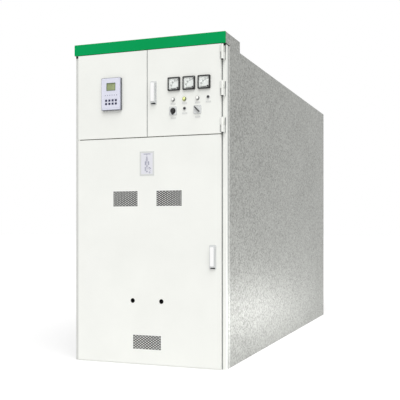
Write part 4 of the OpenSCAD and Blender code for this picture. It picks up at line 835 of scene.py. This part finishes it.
def mimic_plate():
    """Plate on the main door with a generic single-line diagram of the panel's circuit."""
    face = on_front(0, MIMIC_Z, FRONT)
    Shape().plate(face, MIMIC_W, MIMIC_H, MIMIC_T, 3 * MM, 0.5 * MM).done(
        "mimic_plate", TRIM["mimic"], "main_door", "pale_plastic")
    lines = Shape()

    # The diagram is drawn in millimetres from the plate's middle.
    def line(start, end, width=MIMIC_LINE):
        lines.bar(face, [c * MM for c in start], [c * MM for c in end], width * MM, 0.25 * MM,
                  MIMIC_T)

    def circle(at, radius):
        corners = ring(radius, 24, at)
        for start, end in zip(corners, corners[1:] + corners[:1]):
            line(start, end, MIMIC_THIN)

    line((-30, 78), (34, 78), 5)          # busbar
    line((0, 78), (0, 52))
    for tip, way in ((52, 1), (4, -1)):   # plug contacts above and below the breaker
        for side in (-1, 1):
            line((0, tip - 4 * way), (side * 8, tip + 3 * way))
            line((0, tip - 11 * way), (side * 8, tip - 4 * way))
    line((0, 44), (0, 38))
    for start, end in (((-8, 38), (8, 38)), ((8, 38), (8, 20)), ((8, 20), (-8, 20)),
                       ((-8, 20), (-8, 38))):
        line(start, end)                  # breaker
    line((-8, 38), (8, 20), MIMIC_THIN)
    line((-8, 20), (8, 38), MIMIC_THIN)
    line((0, 20), (0, 12))
    line((0, 4), (0, -72))
    circle((0, -16), 7)                   # current transformer
    circle((0, -26), 7)
    line((0, -44), (26, -44))             # branch to the earthing switch
    line((26, -44), (26, -50))
    line((26, -50), (34, -62))
    line((26, -64), (26, -72))
    for half, drop in ((9, 0), (6, 4), (3, 8)):
        line((26 - half, -72 - drop), (26 + half, -72 - drop), MIMIC_THIN)
    line((-8, -62), (0, -74))             # cable head
    line((8, -62), (0, -74))
    line((-8, -62), (8, -62))
    for x in (-14, 17):                   # instrument transformers beside the breaker
        line((x, 18), (x, -14), 8)
    line((-15, -28), (-15, -60), 7)       # arrester and indicator
    line((16, -30), (38, -43), 6)
    Shape().border(face, MIMIC_W - 1 * MM, MIMIC_H - 1 * MM, MIMIC_RIM, 0.2 * MM, 3 * MM,
                   foot=MIMIC_T).done(
        "mimic_rim", TRIM["mimic_rim"], "main_door", "pale_plastic")
    lines.done("mimic_lines", TRIM["mimic_line"], "main_door", "pale_plastic")
    rivets = Shape()
    out, up = MIMIC_W / 2 - MIMIC_RIVET_IN, MIMIC_H / 2 - MIMIC_RIVET_IN
    for at in ((-out, -up), (-out, up), (out, -up), (out, up)):
        rivets.turned(face, in_mm((2.2, 1.2), (2.2, 1.8), (1.2, 2.4)), at, 16)
    rivets.done("mimic_rivets", FINISH["zinc_parts"], "main_door", "zinc_parts", True)


# Swing handles: gasket, lever cover with its middle above the lever's foot, and the black lock insert, which also
# paints the shade under the lever.
GASKET_W, GASKET_RIM, GASKET_OFF = 59 * MM, 8 * MM, 2.5 * MM
COVER_W, COVER_H, COVER_UP = 31 * MM, 151 * MM, 86.5 * MM
LOCK_W, LOCK_H, LOCK_UP = 40 * MM, 9 * MM, 6 * MM


def handle_trim(prefix, body):
    """Grey gasket under a swing handle, its lever's white cover, and the black lock insert, which also paints the
    shade under the lever's foot.
    """
    low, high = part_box(f"{prefix}_handle_base")
    x, z, height = (low.x + high.x) / 2, (low.z + high.z) / 2, high.z - low.z
    Shape().border(on_front(x - GASKET_OFF, z, FRONT), GASKET_W, height + 3 * MM, GASKET_RIM,
                   1.6 * MM, 9 * MM).done(
        f"{prefix}_handle_gasket", TRIM["gasket"], body, "pale_plastic")
    lever_low, lever_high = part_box(f"{prefix}_handle_lever")
    cover = on_front((lever_low.x + lever_high.x) / 2, lever_low.z + COVER_UP, lever_low.y)
    Shape().plate(cover, COVER_W, COVER_H, 1.4 * MM, 6 * MM, 0.6 * MM).done(
        f"{prefix}_handle_cover", FINISH["handle_white"], f"{prefix}_handle_lever",
        "handle_white")
    Shape().plate(on_front(x, z, low.y), LOCK_W, LOCK_H, 3 * MM, 2 * MM, 0.8 * MM,
                  (0, -height / 2 + LOCK_UP)).done(
        f"{prefix}_handle_lock_and_shade", TRIM["black_shade"], body, "black_plastic")


# Lift-off hinges: their height, and how far the outer ones stay from the door's ends.
HINGE_H, HINGE_END, HINGES = 117 * MM, 8 * MM, 3
POST_DEPTH = 66 * MM
# The painted shadow strip stands on the post, the painted shade on the door's edge, and a black ring of painted
# shade under the hinge.
HINGE_STRIP_X, HINGE_EDGE_SHADE_X, FOOT_SHADE_H = 694 * MM, 657.5 * MM, 7 * MM


def hinge_fittings():
    """Painted shade at each lift-off hinge: a black ring under it, a dark strip beside it and a grey strip on the
    door's edge.
    """
    post_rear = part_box("front_posts")[1].y
    axis = PIVOT["lv_door_right_swing"]
    door_low, door_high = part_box("lv_door_right")
    dark_spots, shadow_strips, edge_shades = Shape(), Shape(), Shape()
    for foot in rows_of(HINGES, door_low.z + HINGE_END, door_high.z - HINGE_END - HINGE_H):
        z = foot + HINGE_H / 2
        # Painted shadow on the post beside the hinge, and painted shade on the door's edge.
        shadow_strips.plate(on_front(HINGE_STRIP_X, z, post_rear - POST_DEPTH), 6 * MM, HINGE_H, 5 * MM,
                    1 * MM)
        edge_shades.plate(on_front(HINGE_EDGE_SHADE_X, z, FRONT), 5 * MM, HINGE_H, 0.5 * MM, 0.5 * MM,
                    0.1 * MM)
        dark_spots.turned(on_top(axis.x, axis.y, foot - FOOT_SHADE_H),
                    [(7 * MM, 0.0), (9.2 * MM, 1.5 * MM), (9.2 * MM, FOOT_SHADE_H)], count=28)
    dark_spots.done("hinge_foot_shades", TRIM["black_shade"], "cabinet", "black_plastic", True)
    shadow_strips.done("hinge_painted_shadows", TRIM["shadow"], "cabinet", "black_plastic")
    edge_shades.done("hinge_edge_shades", TRIM["gap"], "lv_door_right", "pale_plastic")


# Painted shade at the posts' tops: from the post's outer edge and the band's foot to its middle, and its size.
SHADE_IN, SHADE_DOWN, SHADE_W, SHADE_H = 14 * MM, 9 * MM, 27 * MM, 17 * MM


def post_top_shades():
    """Black plates just under the header band: painted shade in the gap above the posts."""
    post_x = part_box("front_posts")[1].x
    band_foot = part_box("header_box")[0].z
    dark_spots = Shape()
    for side in (-1, 1):
        dark_spots.plate(on_front(side * (post_x - SHADE_IN), band_foot - SHADE_DOWN, POST_FACE), SHADE_W,
                   SHADE_H, 1.2 * MM, 1 * MM, 0.3 * MM)
    dark_spots.done("post_top_shades", TRIM["black_shade"], "cabinet", "black_plastic")


# Side sheets: middle and width of the lap over the post, and the grey strip of painted shade beside its rivets.
LAP_Y, LAP_W, LAP_RIVETS, RIVET_END = -1432 * MM, 38 * MM, 9, 60 * MM
EDGE_SHADE_W, EDGE_SHADE_OFF = 9 * MM, -16 * MM
# Sill and strips of painted shade: how far they stand behind the doors' faces, the middle of
# the gap between the doors and the right post, and the left post's strip's middle from its outer edge.
SILL_BEHIND, GAP_BEHIND = 22 * MM, 38 * MM
GAP_X, POST_SHADE_IN = 669.2 * MM, 13.5 * MM


def door_sill_and_shades():
    """Sill under the main door, and grey strips of painted shade: in the gap beside the doors, on the left post's
    face and on the seam between the low-voltage doors.
    """
    low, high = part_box("main_door")
    Shape().plate(on_front(0, low.z / 2 - 0.75 * MM, FRONT + SILL_BEHIND), high.x - low.x,
                  low.z - 1.5 * MM, 20 * MM, 1 * MM, 0.5 * MM).done(
        "door_sill", FINISH["frame_grey"], "cabinet", "frame_grey")
    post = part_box("front_posts")[1]
    Shape().plate(on_front(GAP_X, post.z / 2, FRONT + GAP_BEHIND), 5 * MM, post.z, 18 * MM,
                  0.5 * MM, 0.3 * MM).done(
        "door_gap_shade", TRIM["gap"], "cabinet", "frame_grey")
    Shape().plate(on_front(-post.x + POST_SHADE_IN, post.z / 2 - 3.5 * MM, POST_FACE), 25 * MM,
                  post.z - 9 * MM, 0.6 * MM, 1 * MM, 0.2 * MM).done(
        "left_post_shade", TRIM["post_shade"], "cabinet", "frame_grey")
    low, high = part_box("lv_door_right")
    Shape().plate(on_front(5 * MM, (low.z + high.z) / 2, FRONT), 4 * MM, high.z - low.z,
                  0.6 * MM, 0.4 * MM, 0.2 * MM).done(
        "lv_door_seam_shade", TRIM["gap"], "lv_door_right", "pale_plastic")


def side_sheet_laps():
    """The side sheets' laps over the posts in a lighter zinc as painted light, with their rivets and a grey strip
    of painted shade at the lap's front edge.
    """
    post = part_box("front_posts")[1]
    half = post.z / 2
    laps, lap_edge_shade, rivets = Shape(), Shape(), Shape()
    for side in (-1, 1):
        face = on_side(side, post.x, LAP_Y, half)
        laps.plate(face, LAP_W, post.z, 0.8 * MM, 1 * MM, 0.3 * MM)
        lap_edge_shade.plate(face, EDGE_SHADE_W, post.z, 0.9 * MM, 0.3 * MM, 0.2 * MM, (EDGE_SHADE_OFF, 0))
        for v in rows_of(LAP_RIVETS, RIVET_END - half, half - RIVET_END):
            rivets.turned(face, in_mm((4, 0.8), (4, 1.4), (2.6, 2.4), (1, 2.7)), (6 * MM, v), 16)
    laps.done("side_sheet_laps", TRIM["lap"], "cabinet", "galvanised")
    lap_edge_shade.done("side_sheet_edge_shade", TRIM["gap"], "cabinet", "galvanised")
    rivets.done("side_sheet_rivets", FINISH["zinc_parts"], "cabinet", "zinc_parts", True)


BOLT_ACROSS = 9 * MM
# The seam between the two rear covers, and how far the bolts stay from a cover's edge.
SEAM_LOW, SEAM_HIGH, REAR_BOLT_IN = 1158 * MM, 1162 * MM, 13 * MM
# The relief covers, each from a place along the depth and so long, and their bolts' places.
RELIEF_COVERS = ((-660 * MM, 300 * MM), (0.0, 500 * MM), (700 * MM, 500 * MM))
RELIEF_BOLT_X, RELIEF_BOLT_IN = 480 * MM, 20 * MM


def rear_bolts():
    """Hexagon bolts round the two rear covers."""
    low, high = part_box("rear_covers")
    bolts = Shape()
    for foot, top in ((low.z, SEAM_LOW), (SEAM_HIGH, high.z)):
        for z in rows_of(6, foot + REAR_BOLT_IN, top - REAR_BOLT_IN):
            for side in (-1, 1):
                bolts.bolt(on_rear(side * (high.x - REAR_BOLT_IN), z, high.y), BOLT_ACROSS,
                           0.3 + z)
        for x in rows_of(6, low.x + REAR_BOLT_IN, high.x - REAR_BOLT_IN)[1:-1]:
            for z in (foot + REAR_BOLT_IN, top - REAR_BOLT_IN):
                bolts.bolt(on_rear(x, z, high.y), BOLT_ACROSS, 0.3 + x)
    bolts.done("rear_cover_bolts", FINISH["zinc_parts"], "cabinet", "zinc_parts", True)


def roof_bolts():
    """Plastic shear bolts along one side of each relief cover, and steel along its hinge line."""
    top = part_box("roof_plates")[1].z
    steel, nylon = Shape(), Shape()
    for start, length in RELIEF_COVERS:
        for y in rows_of(4, start + RELIEF_BOLT_IN, start + length - RELIEF_BOLT_IN):
            steel.bolt(on_top(-RELIEF_BOLT_X, y, top), BOLT_ACROSS, y)
            nylon.bolt(on_top(RELIEF_BOLT_X, y, top), BOLT_ACROSS, y)
    steel.done("relief_cover_bolts", FINISH["zinc_parts"], "cabinet", "zinc_parts", True)
    nylon.done("relief_cover_nylon_bolts", FINISH["pale_plastic"], "cabinet", "pale_plastic",
               True)


MAT_MARGIN, MAT_BEHIND, MAT_T = 28 * MM, 8 * MM, 5 * MM


def vent_filters():
    """Dust filter mats behind the perforated vents."""
    mats = Shape()
    for side, (x, z, width, height) in ((-1, UPPER_FIELD), (1, UPPER_FIELD), (1, LOWER_FIELD)):
        mats.plate(on_front(side * x, z, FRONT + MAT_BEHIND), width + MAT_MARGIN,
                   height + MAT_MARGIN, MAT_T, 2 * MM, 0.5 * MM)
    mats.done("vent_filters", TRIM["filter"], "main_door", "pale_plastic")


CRANK_X, CRANK_Z, CRANK_R, SLEEVE_LEN = 133 * MM, 528 * MM, 17.5 * MM, 22 * MM


def crank_hole_shades():
    """Thin black liners in the sleeves of the two crank holes, each with a narrow flange: painted shade that
    widens the dark of each hole.
    """
    inner, outer, proud, lip = CRANK_R - 0.4 * MM, CRANK_R - 0.05 * MM, 0.05 * MM, 0.9 * MM
    hole_liners = Shape()
    for x in (-CRANK_X, CRANK_X):
        hole_liners.turned(on_front(x, CRANK_Z, FRONT), [
            (inner, -SLEEVE_LEN), (outer, -SLEEVE_LEN), (outer, proud), (CRANK_R + 2 * MM, proud),
            (CRANK_R + 1.6 * MM, lip), (inner, lip), (inner, -SLEEVE_LEN)],
            count=40, ends=(False, False))
    hole_liners.done("crank_hole_shade_liners", TRIM["black_shade"], "main_door", "black_plastic", True)


relay_case()
relay_front()
crank_hole_shades()
control_lever()
door_sill_and_shades()
side_sheet_laps()
for k, (x, z, side) in enumerate(meter_centres(), 1):
    meter_face(k, x, z, side)
    meter_numbers(k)
for k, (x, z) in enumerate(lamp_centres(), 1):
    signal_lamp(k, x, z)
control_fittings()
label_strips()
mimic_plate()
handle_trim("main", "main_door")
handle_trim("lv", "lv_door_right")
hinge_fittings()
post_top_shades()
rear_bolts()
roof_bolts()
vent_filters()


def seen_rays(tree):
    """1 for what the camera sees, also in metal and through glass."""
    path = add(tree, "ShaderNodeLightPath")
    mirrored = add(tree, "ShaderNodeMath", {"operation": "MAXIMUM"},
                   {0: path.outputs["Is Camera Ray"], 1: path.outputs["Is Glossy Ray"]})
    seen = add(tree, "ShaderNodeMath", {"operation": "MAXIMUM"},
               {0: mirrored.outputs["Value"], 1: path.outputs["Is Transmission Ray"]})
    return seen.outputs["Value"]


def floor():
    """Pale floor, which throws back less light than the camera and the metal see of it."""
    reach = 60.0
    mesh = bpy.data.meshes.new("studio_floor")
    mesh.from_pydata([(-reach, -reach, 0), (reach, -reach, 0), (reach, reach, 0),
                      (-reach, reach, 0)], [], [(0, 1, 2, 3)])
    plane = bpy.data.objects.new("studio_floor", mesh)
    bpy.context.scene.collection.objects.link(plane)
    material, tree, _, output = new_material("floor_paint")
    seen = seen_rays(tree)
    paint = add(tree, "ShaderNodeBsdfDiffuse", {"Color": linear("#FAFAFA")})
    white = add(tree, "ShaderNodeEmission", {"Color": linear("#FFFFFF"), "Strength": 1.0})
    shown = add(tree, "ShaderNodeMixShader", {"Fac": 0.5},
                {1: paint.outputs[0], 2: white.outputs[0]})
    thrown = add(tree, "ShaderNodeBsdfDiffuse", {"Color": linear("#CFCFCF")})
    finish_with(tree, output, add(tree, "ShaderNodeMixShader", links={
        0: seen, 1: thrown.outputs[0], 2: shown.outputs[0]}))
    mesh.materials.append(material)


def surroundings():
    """A world that fills the shade softly, and shows white to the camera and in reflections."""
    world = bpy.data.worlds.new("studio")
    bpy.context.scene.world = world
    world.use_nodes = True
    tree = world.node_tree
    tree.nodes.clear()
    seen = seen_rays(tree)
    fill = add(tree, "ShaderNodeBackground", {"Color": linear("#FFFFFF"), "Strength": 0.55})
    backdrop = add(tree, "ShaderNodeBackground", {"Color": linear("#FFFFFF"), "Strength": 1.0})
    mixed = add(tree, "ShaderNodeMixShader",
                links={0: seen, 1: fill.outputs[0], 2: backdrop.outputs[0]})
    tree.links.new(mixed.outputs[0], add(tree, "ShaderNodeOutputWorld").inputs["Surface"])


def place_lamp(data, at, aim):
    """Puts a lamp at a point and aims it; the camera sees only its light."""
    lamp = bpy.data.objects.new(data.name, data)
    lamp.location = at
    lamp.rotation_euler = (Vector(aim) - Vector(at)).to_track_quat("-Z", "Y").to_euler()
    lamp.visible_camera = False
    bpy.context.scene.collection.objects.link(lamp)


def lamps():
    """A soft lamp overhead, and a low strip that lights the foot of the right side."""
    overhead = bpy.data.lights.new("overhead_lamp", "SUN")
    overhead.energy = 2.45
    overhead.angle = math.radians(50)
    place_lamp(overhead, (2.0, -3.0, 5.6), (0, 0, 0))
    strip = bpy.data.lights.new("side_strip", "AREA")
    strip.shape = "RECTANGLE"
    strip.size, strip.size_y = 3.4, 0.3
    strip.energy = 17.0
    place_lamp(strip, (1.85, 0.0, 0.15), (0.7, -0.05, 0.3))


def camera():
    """The camera, with the shift that the photograph's off-centre framing needs."""
    data = bpy.data.cameras.new("camera")
    data.sensor_width = SENSOR_MM
    data.lens = FOCAL_PX / PHOTO_SIDE * SENSOR_MM
    data.shift_x = 0.5 - OPTICAL_CENTRE_PX[0] / PHOTO_SIDE
    data.shift_y = OPTICAL_CENTRE_PX[1] / PHOTO_SIDE - 0.5
    data.clip_end = 200.0
    rig = bpy.data.objects.new("camera", data)
    rig.location = CAMERA_AT
    rig.rotation_euler = (math.pi / 2, 0, CAMERA_TURN)
    bpy.context.scene.collection.objects.link(rig)
    bpy.context.scene.camera = rig


floor()
surroundings()
lamps()
camera()
bpy.context.scene.view_settings.view_transform = "Standard"
